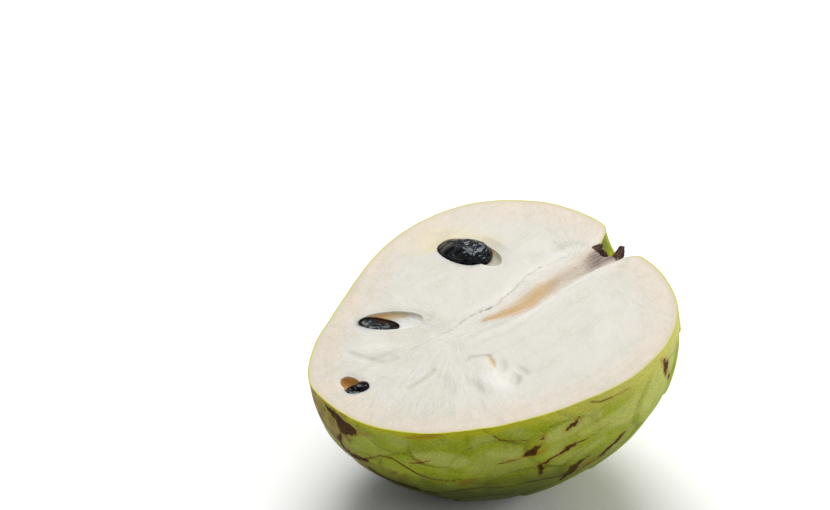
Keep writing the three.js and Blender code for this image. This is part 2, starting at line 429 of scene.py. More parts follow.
# The crack down the core's side on the hollow lobe: [place along X, place along Y, half width].
CRACK = (
    (-10, -1.2, 0.05),
    (-5.3, 0.4, 0.16),
    (-2, 1.2, 0.14),
    (0.9, 1.1, 0.2),
    (3, 0.8, 0.3),
    (5.2, 0.5, 0.2),
    (7.3, 1.9, 0.15),
    (11.4, 3.3, 0.19),
    (16.8, 6.3, 0.13),
    (21.4, 7.3, 0.17),
    (25.1, 6.7, 0.08),
    (29.8, 7.1, 0.06),
)

# The crack strays by this much at most, in waves of this size.
CRACK_STRAY = 0.25
CRACK_WAVE = 1.6

# The coloured fibres up the core: [place along X, middle along Y, half width].
STREAK = (
    (-1.8, -2.6, 0.6),
    (1, -2.9, 1.2),
    (3.5, -3.6, 1.9),
    (8, -4.1, 2.9),
    (11.6, -3.7, 3.7),
    (17.4, -2.0, 3.8),
    (22.5, -1.1, 3.4),
    (29.6, -0.4, 3.6),
    (36, 0.6, 4.4),
)

# Between these places along X the fibres' colour comes in, turns from tan to purplish, and
# they are torn.
STREAK_BEGINS = (-3.5, 0.5)
STREAK_TURNS = (16, 27)
STREAK_TEARS = (29, 34.5)

# Hollows and folds of the cut face: centre, half length, half width, turn in degrees, depth.
DIMPLES = (
    ((-10.8, -25.4), 5.5, 3.2, 90, -0.6),
    ((-5.7, -28.3), 2.6, 1.3, 60, 0.45),
    ((-3, -26.6), 2.4, 1.0, 95, 0.3),
    ((-5.8, -21.8), 2.2, 1.2, 60, 0.3),
    ((-15.2, -24), 4.5, 1.4, 95, 0.2),
    ((-20.5, -18.4), 4.5, 2.4, 90, 0.25),
    ((-27.6, 5.6), 5.2, 2.4, 150, -0.3),
    ((-28.5, 0.6), 5.5, 1.6, 170, 0.3),
    ((7.3, 36.6), 5, 1.6, 20, 0.3),
    ((17.2, 24), 5.5, 1.5, 100, 0.3),
    ((29.2, 13), 3, 1.6, 100, 0.2),
    ((2, 14), 6, 2.2, 60, 0.15),
    ((-20, 33), 7, 1.6, 45, 0.15),
    ((20, -24), 9, 2.5, 60, -0.15),
    ((38.3, -4.6), 2.6, 1.5, 20, 0.25),
)

# Creases in the cut face: path, half width and depth.
CREASES = (
    (((-27.9, -14.4), (-25.5, -14), (-23.5, -13.5), (-21.5, -12.9), (-19.7, -12.2)), 0.6, 0.25),
    (((-11.6, -14.2), (-10.2, -13.5), (-8, -14.8), (-6, -16.2)), 0.45, 0.25),
    (((-14.6, 9.8), (-13.8, 8.1), (-12.1, 7.6)), 0.3, 0.25),
    (((-33, 8), (-31.3, 4.2), (-29.6, 1.6), (-27.5, -1.4), (-24.6, -1.8)), 0.8, 0.15),
    (((-20.4, -1.2), (-14.6, -0.9), (-8.8, -0.9)), 0.4, 0.15),
    (((28.4, 11.7), (31.5, 11.6), (33.5, 10), (34.8, 8.2)), 1.1, 0.2),
)

# The tan slit between two folds: [place along X, place along Y, half width].
TAN_SLIT = ((-6.5, -16.4, 0.7), (-6.9, -18.8, 1.1), (-7.4, -21.2, 0.5))

# How deep the slit and the crack are, and how deep and how wide the pulp dips round an opening.
SLIT_DEPTH = 0.4
CRACK_DEPTH = 0.45
OPENING_DIP = 0.2
OPENING_DIP_REACH = 0.8

# The drag of the knife over the cut face: waves of this length, and their height.
KNIFE_DRAG = ((13, 0.14), (5, 0.09), (2, 0.035))

# The pit's wall starts between these cosines of the angle from the stalk, and is one valley,
# this far from its edge, which paints it with shade all over. The cut's bright band goes this far into
# it.
PIT_WALL = (0.955, 0.985)
PIT_EDGE = 0.25
PIT_BAND = 8

# Between these places along X the skin grows paler towards the stalk end.
PALE_END = (-22, 16)

# A scale's edge or a mark on the skin is felt no further off than this.
SKIN_REACH = 5

# The scales' relief comes and goes in patches of this size, down to this share of it. This
# share of it is left along the cut, and it is back between these depths below the cut.
CALM_PATCH = 15
CALM_LEAST = 0.45
CALM_AT_CUT = 0.2
CALM_BAND = (1, 7)

# The sun has burnt the tip and, less, the flank: between these shares of the way to the tip,
# and for the flank also of the way down.
BURNT_TIP = (0.9, 0.99)
BURNT_FLANK = (0.6, 0.95)
BURNT_DOWN = (0.1, 0.4)

# Marks on the skin are paths of [angle from the stalk pit, azimuth, half width], with angles
# in degrees. First the healed scars.
SCARS = (
    ((173, -166, 0.5), (169.3, -164.3, 1.3), (165.9, -164, 1.9), (163.3, -163, 1.8), (160.2, -166, 0.8)),
    ((166, -157, 1.2), (164, -154, 1.1), (161.8, -159, 0.9)),
    ((164.7, -155, 0.3), (163.1, -118, 0.4), (159.2, -111, 0.8), (156.7, -124, 0.9), (154.1, -136, 0.6)),
    ((152, -124, 0.5), (147, -121, 1.1), (142, -125, 1.3), (137, -129, 1.1), (131, -133, 0.6)),
    ((106.6, -164.6, 0.3), (105.4, -165.4, 0.9), (104.2, -166, 1.0), (102.8, -168, 0.35)),
    ((101.9, -169, 0.35), (101.5, -169.2, 0.3)),
    ((100.6, -171.2, 0.3), (100.3, -171.8, 0.2)),
    ((92.6, -171.7, 0.35), (90.7, -172.8, 0.55), (88.8, -174.3, 0.25)),
    ((92.2, -141, 0.4), (90.9, -147, 1.3), (90.3, -151, 1.2), (88.6, -152.8, 0.7), (86, -154, 0.2)),
    ((81, -150, 0.3), (79.4, -151.5, 0.7), (77.6, -154, 0.9), (75.8, -155.5, 0.6), (74.2, -158, 0.2)),
    ((57.4, -176, 0.4), (56.4, -172.5, 0.8), (56.8, -169.3, 0.5)),
    ((54.3, -165, 0.6), (53.5, -163.5, 0.5)),
    ((95.5, -161.8, 0.25), (92.9, -163.1, 0.7), (91, -164.3, 0.25)),
    ((101.1, -152.5, 0.35), (101.2, -156.5, 0.6), (100.4, -159.2, 0.45), (98.4, -160.8, 0.3)),
    ((34, -75, 0.3), (37, -70, 0.8), (41, -68, 0.4)),
    ((70, -28, 0.4), (74, -24, 0.8), (79, -25, 0.3)),
    ((112, -55, 0.4), (116, -50, 1.0), (118, -43, 0.5)),
    ((62, -112, 0.3), (66, -108, 0.7), (71, -109, 0.2)),
)

# Thin brown lines along the scales' edges.
LINES = (
    (
        (154.5, -137, 0.25),
        (150.6, -153.6, 0.2),
        (146.3, -158, 0.18),
        (142.5, -154.6, 0.3),
        (138.3, -150.9, 0.25),
        (133, -149.4, 0.15),
        (127, -151.5, 0.08),
    ),
    ((172, -90, 0.3), (168, -100, 0.25), (163.1, -112, 0.35)),
    ((115, -176.4, 0.14), (113.4, -173.8, 0.14), (109, -172.6, 0.1), (104.5, -171.7, 0.06)),
    ((141, -158.8, 0.1), (137.9, -161, 0.2), (134.8, -164.6, 0.08)),
    ((98.6, -160.7, 0.3), (95.5, -161.8, 0.25), (92.3, -163.3, 0.3)),
    ((91.4, -164.2, 0.25), (87.5, -164, 0.15), (84.3, -164.6, 0.06)),
    ((90.8, -143.5, 0.4), (97.4, -147.1, 0.25), (104, -148.4, 0.3), (110, -146.6, 0.15)),
    ((110, -146.6, 0.15), (117, -147, 0.2), (124, -144, 0.3), (130, -136, 0.2)),
    ((79.6, -148.5, 0.25), (82.1, -147.4, 0.25), (85.9, -147.5, 0.3), (88.6, -143, 0.3)),
    ((85, -178.8, 0.1), (82.1, -177.4, 0.14), (77.4, -177.1, 0.1), (72.4, -177.1, 0.05)),
    ((114.6, -162.5, 0.1), (110.4, -163.2, 0.18), (108, -163.6, 0.05)),
    ((60, -60, 0.1), (66, -52, 0.25), (74, -50, 0.1)),
    ((120, -95, 0.1), (126, -88, 0.25), (134, -86, 0.2), (140, -90, 0.1)),
    ((40, -120, 0.1), (46, -112, 0.2), (55, -110, 0.1)),
    ((85, -75, 0.1), (92, -70, 0.25), (98, -72, 0.1)),
    ((96, -20, 0.1), (103, -16, 0.2), (110, -18, 0.1)),
)

# Rubbed, sunburnt stretches.
STAINS = (
    ((167, -135.5, 1.2), (163, -111, 1.6), (157, -124, 1.4)),
    ((175, -38, 2.0), (172, -60, 2.4), (167, -81, 2.0)),
    ((152, -124, 1.4), (145, -121, 2.2), (137, -128, 2.0), (128, -134, 1.2)),
    ((141, -159, 0.4), (138, -162, 0.6), (134.8, -164.6, 0.3)),
    ((141, -177, 0.4), (137.4, -178, 0.8), (133.7, -179, 0.8), (130.5, -179.3, 0.3)),
    ((124.9, -149.1, 1.0), (122.7, -152, 1.3), (120.4, -153.6, 0.6)),
    ((104, -165, 0.8), (101.5, -165.4, 0.9), (99.5, -166, 0.4)),
    ((81.1, -166.4, 0.4), (79.9, -167.4, 0.4)),
    ((114.6, -162.5, 0.4), (110.4, -163.2, 0.6)),
    ((92.3, -144, 1.2), (88, -149, 1.2), (81, -150, 1.2), (76, -154, 1.0)),
    ((58.5, -177, 0.8), (56.6, -171.7, 1.3), (54.1, -164.5, 1.4)),
    ((160, -163, 0.6), (157, -168, 0.9), (154, -171, 0.3)),
    ((83.6, -170.5, 0.3), (81.7, -171.2, 0.3)),
    ((48, -20, 0.8), (52, -16, 1.2), (58, -15, 0.6)),
    ((128, -20, 1.0), (134, -24, 1.4), (139, -30, 0.8)),
)

# Where the bloom lies thick.
BLOOMS = (
    ((101, -171, 1.4), (96.7, -171, 2.8), (91.3, -172, 2.8), (84, -173, 2.2)),
    ((98.5, -153.5, 1.4), (94, -157, 2.0), (87.5, -158.5, 2.0), (81.5, -161, 1.4)),
    ((88, -167.5, 1.4), (82, -169, 2.2), (76.3, -168, 3.6), (69.1, -169.4, 4.0), (60, -172, 3.4)),
    ((60, -172, 3.4), (48, -174, 3.0)),
    ((149, -138, 1.2), (146, -145, 2.0), (143.5, -146, 1.8)),
    ((138, -166, 1.8), (131.8, -166, 3.2), (125.5, -165, 2.6)),
    ((116.6, -168, 1.8), (109.2, -166, 1.6)),
)


def resting():
    """The lean and place that lay the half down on its back."""
    shape = settings().fruit
    raised = Matrix.Rotation(-shape.lean[1], 4, "Y") @ Matrix.Rotation(shape.lean[0], 4, "X")
    return Matrix.Translation(Vector(shape.belly_place)) @ raised


def direction(polar, azimuth):
    """Unit vectors at these angles from the stalk pit and round the fruit's axis."""
    polar, azimuth = np.broadcast_arrays(polar, azimuth)
    out = np.sin(polar)
    return np.stack([np.cos(polar), out * np.cos(azimuth), out * np.sin(azimuth)], axis=-1)


def angles(towards):
    """The angle from the stalk pit and the azimuth of unit vectors."""
    polar = np.arccos(np.clip(towards[..., 0], -1, 1))
    return polar, np.arctan2(towards[..., 2], towards[..., 1])


def smoothstep(value, start, end):
    """0 up to start, 1 from end on, and a smooth rise in between."""
    t = np.clip((value - start) / (end - start), 0, 1)
    return t * t * (3 - 2 * t)


def profile_radius(radii, polar):
    """A smooth curve through a profile's radii, level at both ends."""
    radii = np.array(radii)
    last = len(radii) - 1
    place = polar / math.pi * last
    step = np.clip(np.floor(place).astype(int), 0, last - 1)
    t = place - step
    start, end = radii[step], radii[step + 1]
    slope_start = (end - radii[np.abs(step - 1)]) / 2
    slope_end = (radii[last - np.abs(last - step - 2)] - start) / 2
    t2, t3 = t * t, t * t * t
    return (
        (2 * t3 - 3 * t2 + 1) * start
        + (t3 - 2 * t2 + t) * slope_start
        + (3 * t2 - 2 * t3) * end
        + (t3 - t2) * slope_end
    )


def mix_sides(hollow, rounded, back, azimuth):
    """Values for the hollow lobe, the round lobe and the back, mixed for an azimuth."""
    side = np.cos(azimuth)
    lobe = np.where(side > 0, hollow, rounded)
    return lobe * side**2 + back * (1 - side**2)


def smooth_radius(towards):
    """The fruit's radius without its scales."""
    shape = settings().fruit
    polar, azimuth = angles(towards)
    radii = [profile_radius(p, polar) for p in (shape.hollow_lobe, shape.round_lobe, shape.back)]
    pit_angle = mix_sides(*shape.pit_angles, azimuth)
    return mix_sides(*radii, azimuth) - shape.pit_depth * np.exp(-((polar / pit_angle) ** 4))


def floor_radius(towards):
    """The radius at which a direction meets the surface that the half rests on."""
    down = np.array(resting().to_3x3().inverted() @ Vector((0, 0, -1)))
    drop = towards @ down
    return settings().fruit.belly_place[2] / np.maximum(drop, 1e-6)


def areole_frames():
    """Each scale's centre, the way to the tip and the way across, as unit vectors."""
    count = settings().areoles.count
    index = np.arange(count)
    x = 1 - (2 * index + 1) / count
    out = np.sqrt(1 - x * x)
    cos, sin = np.cos(index * GOLDEN_ANGLE), np.sin(index * GOLDEN_ANGLE)
    centres = np.stack([x, out * cos, out * sin], axis=-1)
    tipwards = np.stack([-out, x * cos, x * sin], axis=-1)
    across = np.stack([0 * x, -sin, cos], axis=-1)
    return list(zip(centres, tipwards, across))


def pulled(towards):
    """Directions moved by the slow waves that pull the scales out of true."""
    across = np.roll(towards, -1, axis=-1)
    waves = [
        np.sin(count * across[..., axis] + turn)
        for axis, (count, turn) in enumerate(AREOLE_WAVES)
    ]
    moved = towards + settings().areoles.pull * np.stack(waves, axis=-1)
    return moved / np.linalg.norm(moved, axis=-1, keepdims=True)


class ScaleField:
    """What the scales do at each direction: their relief, reach, edge distance and tone."""

    def __init__(self, towards):
        scales = settings().areoles
        towards = pulled(towards)
        bottom = np.full(towards.shape[:-1], -scales.step)
        self.relief = bottom.copy()
        self.reach = np.ones_like(bottom)
        self.tone = np.zeros_like(bottom)
        below = bottom.copy()
        top = np.full(bottom.shape, -1)
        plates = []
        for index, (centre, tipward, across) in enumerate(areole_frames()):
            lengthwise = MEAN_RADIUS * (towards @ tipward) / scales.half_length
            crosswise = MEAN_RADIUS * (towards @ across) / scales.half_width
            reach = np.maximum(np.hypot(lengthwise, crosswise), 1e-6)
            facing = towards @ centre > 0
            edge = smoothstep(reach, scales.step_start, 1)
            height = np.where(
                (reach < 1) & facing, scales.tilt * lengthwise - scales.step * edge, -1
            )
            wins = height > self.relief
            below = np.maximum(below, np.where(wins, self.relief, np.minimum(height, self.relief)))
            self.relief = np.where(wins, height, self.relief)
            self.reach = np.where(wins, reach, self.reach)
            self.tone = np.where(wins, (index * GOLDEN_SHARE) % 1, self.tone)
            top = np.where(wins, index, top)
            slope = np.hypot(lengthwise / scales.half_length, crosswise / scales.half_width) / reach
            gap = np.where(facing, np.abs(reach - 1) / np.maximum(slope, 1e-6), 1)
            plates.append((index, gap, scales.tilt * lengthwise / reach))
        self.edge = np.full(bottom.shape, SKIN_REACH * MM)
        for index, gap, rim_height in plates:
            others = np.where(top == index, below, self.relief)
            shown = rim_height > others
            self.edge = np.where(shown, np.minimum(self.edge, gap), self.edge)


def skin_fade(towards):
    """Scales fade out round the stalk pit and where the back is pressed flat."""
    scales = settings().areoles
    polar, _ = angles(towards)
    grown = smoothstep(polar, *scales.grow_angles)
    return grown * smoothstep(floor_radius(towards) - smooth_radius(towards), 0, scales.fade_rise)


def calm(towards):
    """How much of the scales' relief is left: it comes and goes, and is slight along the cut."""
    patches = smoothstep(lumps(MEAN_RADIUS * towards, CALM_PATCH * MM, 4), -0.3, 0.4)
    patchy = CALM_LEAST + (1 - CALM_LEAST) * patches
    low = smoothstep(-MEAN_RADIUS * towards[..., 2], *np.multiply(MM, CALM_BAND))
    return patchy * (CALM_AT_CUT + (1 - CALM_AT_CUT) * low)


def skin_radius(towards):
    """The radius of the skin, scales and all."""
    relief = skin_fade(towards) * calm(towards) * ScaleField(towards).relief
    return np.minimum(smooth_radius(towards) + relief, floor_radius(towards))


def inner_radius(depth):
    """A function that gives the radius at a depth below the smooth skin."""
    return lambda towards: np.minimum(smooth_radius(towards), floor_radius(towards)) - depth


def lumps(points, size, turn=0):
    """Smooth noise from -1 to 1 with features of a size, the same on every run."""
    scaled = points / size + NOISE_TURN * (turn + 1)
    cell = np.floor(scaled).astype(np.int64)
    part = scaled - cell
    part = part * part * (3 - 2 * part)
    primes = np.array(NOISE_PRIMES, dtype=np.int64)[: points.shape[-1]]
    total = np.zeros(points.shape[:-1])
    for corner in np.ndindex(*(2,) * points.shape[-1]):
        key = (cell + corner) @ primes
        for shift, mixer in NOISE_MIXERS:
            key = (key ^ (key >> shift)) * mixer & NOISE_LARGEST
        weight = np.prod(np.where(corner, part, 1 - part), axis=-1)
        total += weight * (key / (NOISE_LARGEST // 2) - 1)
    return total


def run_gap(points, start, end):
    """Distance from points to a straight run, and how far along it the nearest place is."""
    run = end - start
    along = np.clip((points - start) @ run / (run @ run), 0, 1)
    return np.linalg.norm(points - start - along[..., None] * run, axis=-1), along


def path_distance(points, path):
    """Distance from points to a path of straight runs."""
    path = np.array(path, float)
    return np.min([run_gap(points, *ends)[0] for ends in zip(path[:-1], path[1:])], axis=0)


def path_runs(points, path):
    """Distance from points to each run of a path, and its half width there."""
    for start, end in zip(path[:-1], path[1:]):
        gap, along = run_gap(points, start[:-1], end[:-1])
        yield gap, start[-1] + along * (end[-1] - start[-1])


def path_depth(points, path):
    """How deep points lie inside a path that has a half width at each of its places."""
    return np.max([half_width - gap for gap, half_width in path_runs(points, path)], axis=0)


def path_share(points, path):
    """How strongly points show a line: it fades out sideways, and where it grows thin."""
    path = MM * np.array(path)
    shares = [
        half_width * np.exp(-((gap / (0.5 * half_width + 0.1 * MM)) ** 2))
        for gap, half_width in path_runs(points, path)
    ]
    return np.max(shares, axis=0) / path[:, -1].max()


def skin_marks(towards, marks):
    """How deep directions lie inside the marks of the skin."""
    deepest = np.full(towards.shape[:-1], -SKIN_REACH * MM)
    for path in marks:
        path = np.array(path, float)
        line = MEAN_RADIUS * direction(np.radians(path[:, 0]), np.radians(path[:, 1]))
        drawn = np.column_stack([line, MM * path[:, 2]])
        deepest = np.maximum(deepest, path_depth(MEAN_RADIUS * towards, drawn))
    return deepest


# ---- The cut face ----


def core_edges(x):
    """The core's two edges on the cut at places along X."""
    places, near, far = (MM * np.array(column) for column in zip(*CORE_EDGES))
    return np.interp(x, places, near), np.interp(x, places, far)


def oval_reach(points, centre, along, half_size):
    """How far out points lie in an oval on the cut: 0 in its middle and 1 on its outline."""
    along = np.array(along[:2]) / np.linalg.norm(along[:2])
    across = np.array([-along[1], along[0]])
    offset = points[..., :2] - MM * np.array(centre[:2])
    return np.hypot(offset @ along / half_size[0], offset @ across / half_size[1])


def opening_edge(points, seed):
    """How far beyond a seed's opening in the cut the points are, below 0 inside it."""
    centre, along, half_size = seed["opening"]
    half_size = MM * np.array(half_size)
    return (oval_reach(points, centre, along, half_size) - 1) * half_size[1]


def pocket_edge(points, seed):
    """How far the points are, on the cut, from the outline of a seed that lies along it."""
    half_size = settings().seed.half_size
    return (oval_reach(points, seed["centre"], seed["outward"], half_size) - 1) * half_size[1]


def dimple_reach(points, centre, half_long, half_wide, turn):
    """How far out points lie in a dimple: 0 in its middle and 1 on its outline."""
    along = math.cos(math.radians(turn)), math.sin(math.radians(turn))
    return oval_reach(points, centre, along, (MM * half_long, MM * half_wide))


def crease_share(points, path, half_width):
    """How strongly points show a crease: 1 along its path, and less on each side."""
    return np.exp(-((path_distance(points, MM * np.array(path)) / (MM * half_width)) ** 2))


def face_height(points):
    """The relief of the cut face: the drag of the knife, dimples, folds, creases and the crack."""
    height = sum(
        MM * rise * lumps(points, MM * size, turn) for turn, (size, rise) in enumerate(KNIFE_DRAG)
    )
    for *dimple, depth in DIMPLES:
        height -= depth * MM * np.exp(-(dimple_reach(points, *dimple) ** 3))
    for *crease, depth in CREASES:
        height -= depth * MM * crease_share(points, *crease)
    height -= SLIT_DEPTH * MM * path_share(points, TAN_SLIT)
    height -= CRACK_DEPTH * MM * path_share(strayed(points), CRACK)
    for seed in SEEDS.values():
        beside = np.maximum(opening_edge(points, seed), 0) / (OPENING_DIP_REACH * MM)
        height -= OPENING_DIP * MM * np.exp(-(beside**2))
    return height


def strayed(points):
    """Points in the cut shifted a little, so that what is drawn there wanders."""
    shift = np.stack([lumps(points, CRACK_WAVE * MM, turn) for turn in (5, 6)], axis=-1)
    return points + CRACK_STRAY * MM * shift


# ---- Meshes ----


def grid_faces(rows, columns, wrap):
    """Quads between rows of points, closed round the columns if they wrap."""
    faces = []
    for row in range(rows - 1):
        for column in range(columns if wrap else columns - 1):
            after = (column + 1) % columns
            faces.append(
                (
                    row * columns + column,
                    row * columns + after,
                    (row + 1) * columns + after,
                    (row + 1) * columns + column,
                )
            )
    return faces


def new_piece(name, points, faces):
    """A mesh object of this name, whose points are in the fruit's own frame."""
    mesh = bpy.data.meshes.new(name)
    mesh.from_pydata(points.reshape(-1, 3).tolist(), [], faces)
    mesh.validate()
    piece = bpy.data.objects.new(name, mesh)
    bpy.context.scene.collection.objects.link(piece)
    return piece


def ringed_body(name, rings, start, end):
    """A closed body from rings of points between a start point and an end point."""
    rows, columns = rings.shape[:2]
    points = np.concatenate([rings.reshape(-1, 3), [start, end]])
    first, last = rows * columns, rows * columns + 1
    faces = grid_faces(rows, columns, True)
    for column in range(columns):
        after = (column + 1) % columns
        faces.append((first, after, column))
        faces.append(((rows - 1) * columns + column, (rows - 1) * columns + after, last))
    return new_piece(name, points, faces)


def round_body(name, grid, radius_at):
    """A closed body round the X axis, with fine columns below the cut and few above it."""
    rows, columns = grid
    polar = math.pi * np.linspace(0, 1, rows + 1)[1:-1]
    below = np.linspace(-math.pi, 0, columns + 1)
    above = np.linspace(0, math.pi, columns // 8 + 2)[1:-1]
    azimuth = np.concatenate([below, above])
    towards = direction(polar[:, None], azimuth[None, :])
    rings = towards * radius_at(towards)[..., None]
    poles = np.array([[1.0, 0, 0], [-1.0, 0, 0]])
    ends = poles * radius_at(poles)[:, None]
    return ringed_body(name, rings[:, ::-1], *ends)


def carve(piece, cutter, operation="DIFFERENCE"):
    """Cuts one closed body with another, which is used up."""
    modifier = piece.modifiers.new("carve", "BOOLEAN")
    modifier.solver = "MANIFOLD"
    modifier.operation = operation
    modifier.object = cutter
    evaluated = piece.evaluated_get(bpy.context.evaluated_depsgraph_get())
    carved = bpy.data.meshes.new_from_object(evaluated)
    piece.modifiers.remove(modifier)
    used = [piece.data, cutter.data]
    piece.data = carved
    bpy.data.objects.remove(cutter)
    for mesh in used:
        bpy.data.meshes.remove(mesh)
    if not piece.data.polygons:
        raise RuntimeError(f"nothing is left of {piece.name} after carving it")


def cut_block():
    """A block that fills all below the cut, with the cut face's relief on its top."""
    half = CUT_HALF_SIDE * MM
    ruler = np.linspace(-half, half, CUT_CELLS + 1)
    x, y = np.meshgrid(ruler, ruler)
    top = np.stack([x, y, face_height(np.stack([x, y], axis=-1))], axis=-1)
    count = len(ruler)
    index = np.arange(count * count).reshape(count, count)
    ring = np.concatenate([index[0, :-1], index[:-1, -1], index[-1, :0:-1], index[:0:-1, 0]])
    low = top.reshape(-1, 3)[ring] * [1, 1, 0] - [0, 0, CUT_DEPTH * MM]
    points = np.concatenate([top.reshape(-1, 3), low])
    faces = grid_faces(count, count, False)
    base = count * count
    size = len(ring)
    for place in range(size):
        after = (place + 1) % size
        faces.append((ring[after], ring[place], base + place, base + after))
    faces.append(tuple(base + place for place in range(size - 1, -1, -1)))
    return new_piece("cut_block", points, faces)


def oval_body(name, lie, sizes, grid, taper=0, boxiness=2, relief=None):
    """A closed oval: its centre in millimetres and its axes, its half sizes, rows and columns."""
    centre, along, flank = lie
    rows, columns = grid
    length_axis = Vector(along).normalized()
    width_axis = (Vector(flank) - Vector(flank).project(length_axis)).normalized()
    basis = np.array([width_axis, length_axis, width_axis.cross(length_axis)])
    tilt = math.pi * np.linspace(0, 1, rows + 1)[1:-1, None]
    turn = 2 * math.pi * np.arange(columns)[None, :] / columns
    unit = np.stack(
        [np.sin(tilt) * np.cos(turn), np.cos(tilt) + 0 * turn, np.sin(tilt) * np.sin(turn)], axis=-1
    )
    unit = np.concatenate([unit.reshape(-1, 3), [[0, 1, 0], [0, -1, 0]]])
    if boxiness > 2:
        unit = unit * (np.abs(unit) ** boxiness).sum(axis=1, keepdims=True) ** (-1 / boxiness)
    slim = 1 - taper * unit[:, 1:2]
    scale = sizes[[1, 0, 2]] * np.concatenate([slim, 0 * slim + 1, slim], axis=1)
    local = unit * scale
    if relief is not None:
        local = local * (1 + relief(unit, local)[:, None])
    points = local @ basis + MM * np.array(centre)
    rings = points[:-2].reshape(rows - 1, columns, 3)
    return ringed_body(name, rings, *points[-2:])


def seed_body(name, seed, grow, grid, relief=None):
    """A seed: a boxy oval that tapers towards its outer end."""
    look = settings().seed
    lie = seed["centre"], seed["outward"], seed["flank"]
    sizes = np.array(look.half_size) + grow
    return oval_body(name, lie, sizes, grid, look.taper, look.boxiness, relief)


def opening_body(seed):
    """What is scooped out of the pulp beside a seed."""
    centre, along, half_size = seed["opening"]
    lie = centre, along, (-along[1], along[0], 0)
    return oval_body("opening", lie, MM * np.array(half_size), POCKET_GRID)


def rings_along(x, middle, radius, columns):
    """Rings round the X axis, by their places along it, middles along Y and radii."""
    turn = 2 * math.pi * np.arange(columns) / columns
    y, z = middle + radius * np.cos(turn), radius * np.sin(turn)
    return np.stack(np.broadcast_arrays(x[:, None], y, z), axis=-1)


def core_body(name, grow):
    """The core: rings along X whose edges on the cut follow the core's edges."""
    rows, columns = CORE_GRID
    start = MM * (CORE_EDGES[0][0] - CORE_NOSE) - grow
    end = MM * CORE_EDGES[-1][0] + grow
    x = np.linspace(start, end, rows + 2)[1:]
    near, far = core_edges(x)
    half = (far - near) / 2 * np.clip((x - start) / (CORE_SWELL * MM), 0.05, 1) ** 0.5 + grow
    middle = (far + near) / 2
    rings = rings_along(x, middle[:, None], half[:, None], columns)
    return ringed_body(name, rings, [start, middle[0], 0], [end, middle[-1], 0])


def stalk_hole():
    """The hole that the torn stalk leaves through the rind and into the flesh."""
    middle = SCAR_OFFSET * MM
    x = np.array([SCAR_FOOT * MM - SEAM, HOLE_END * MM])
    rings = rings_along(x, middle, SCAR_RADIUS * MM + SEAM, HOLE_COLUMNS)
    return ringed_body("hole", rings, [x[0], middle, 0], [x[1], middle, 0])


def scar_body(name):
    """The torn stalk: a bowl with a flap and rags on its rim, rough where it has dried."""
    rows, columns = SCAR_GRID
    outline = MM * np.array(SCAR_OUTLINE)
    steps = np.linspace(0, len(outline) - 1, rows)[1:-1]
    radius, x = (np.interp(steps, range(len(outline)), column) for column in outline.T)
    rings = rings_along(x, 0, radius[:, None], columns)
    rim = rings[..., 0] > SCAR_RIM_START * MM
    azimuth = np.broadcast_to(2 * math.pi * np.arange(columns) / columns, rim.shape)
    flap = SCAR_FLAP_HEIGHT * MM * ((1 - np.cos(azimuth)) / 2) ** 2
    rags = sum(high * MM * np.sin(count * azimuth + lag) for count, high, lag in SCAR_RAGS)
    rings[..., 0] += np.where(rim, flap + rags, 0)
    rings[..., 1] += np.where(rim, SCAR_FLAP_LEAN * flap, 0)
    coarse, fine = SCAR_LUMPS
    rough = lumps(rings, coarse * MM) + 0.7 * lumps(rings, fine * MM, 2)
    rough *= smoothstep(rings[..., 0] / MM, *SCAR_CRUST)
    rings[..., 0] += SCAR_LUMP_RISE * MM * rough
    rings[..., 1:] *= (1 - 0.1 * np.abs(rough))[..., None]
    middle = SCAR_OFFSET * MM
    rings[..., 1] += middle
    return ringed_body(name, rings, [SCAR_FOOT * MM, middle, 0], [SCAR_FLOOR * MM, middle, 0])


def seed_relief(turn):
    """The facets, pits and keel of one seed's coat, as shares of the seed's size."""

    def relief(unit, local):
        broad = sum(rise * lumps(local, size * MM, turn + on) for size, rise, on in SEED_LUMPS)
        dents = smoothstep(lumps(local, 1.6 * MM, turn + 3), 0.3, 0.8)
        edge = smoothstep(np.abs(unit[:, 2]), 0.75, 0.2)
        keel = np.exp(-(((unit[:, 2] - 0.32) / 0.1) ** 2))
        return broad - SEED_PIT * dents * edge - SEED_KEEL * keel - SEED_DRAWN_IN

    return relief


def places_of(mesh):
    """The points of a mesh, as an array."""
    points = np.zeros(3 * len(mesh.vertices))
    mesh.vertices.foreach_get("co", points)
    return points.reshape(-1, 3)


def paint(mesh, name, values):
    """Keeps a number for each point of the mesh, for its material to read."""
    mesh.attributes.new(name, "FLOAT", "POINT").data.foreach_set("value", values.astype(np.float32))


def paint_places(mesh, name, values):
    """Keeps a place for each point of the mesh, for its material to read."""
    layer = mesh.attributes.new(name, "FLOAT_VECTOR", "POINT")
    layer.data.foreach_set("vector", values.astype(np.float32).ravel())


def settle(piece, material, nodes, crease=SOFT_CREASE):
    """Lays a finished piece down on its back, gives it its material and hands it to the frame."""
    mesh = piece.data
    paint_places(mesh, "fruit_place", places_of(mesh))
    mesh.transform(resting())
    mesh.materials.clear()
    mesh.materials.append(material)
    mesh.shade_smooth()
    mesh.set_sharp_from_angle(angle=math.radians(crease))
    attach(piece, BODY)
    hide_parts(*nodes)


# ---- Materials ----

# A node's inputs are given in the order in which it shows them:
# TexNoise: place, scale (1 over the size of a feature), detail, roughness, lacunarity, distortion
# MapRange: value, the two values it runs between, what those become (0 and 1 unless given)
# Mix: share, the colour at 0, the colour at 1
# Bump: strength, distance, filter width, height

# Options that nodes share: ranges that ease in and out, and colours that are mixed.
SMOOTH = {"interpolation_type": "SMOOTHSTEP"}
COLOURS = {"data_type": "RGBA"}

WHITE = (1, 1, 1)
WARM_WHITE = (1, 0.93, 0.82)


def feed(tree, socket, value):
    """Links a socket to another node's output, or gives it a number, a place or a colour."""
    if isinstance(value, bpy.types.NodeSocket):
        tree.links.new(value, socket)
    elif socket.type == "RGBA":
        socket.default_value = (*value, 1)
    else:
        socket.default_value = value


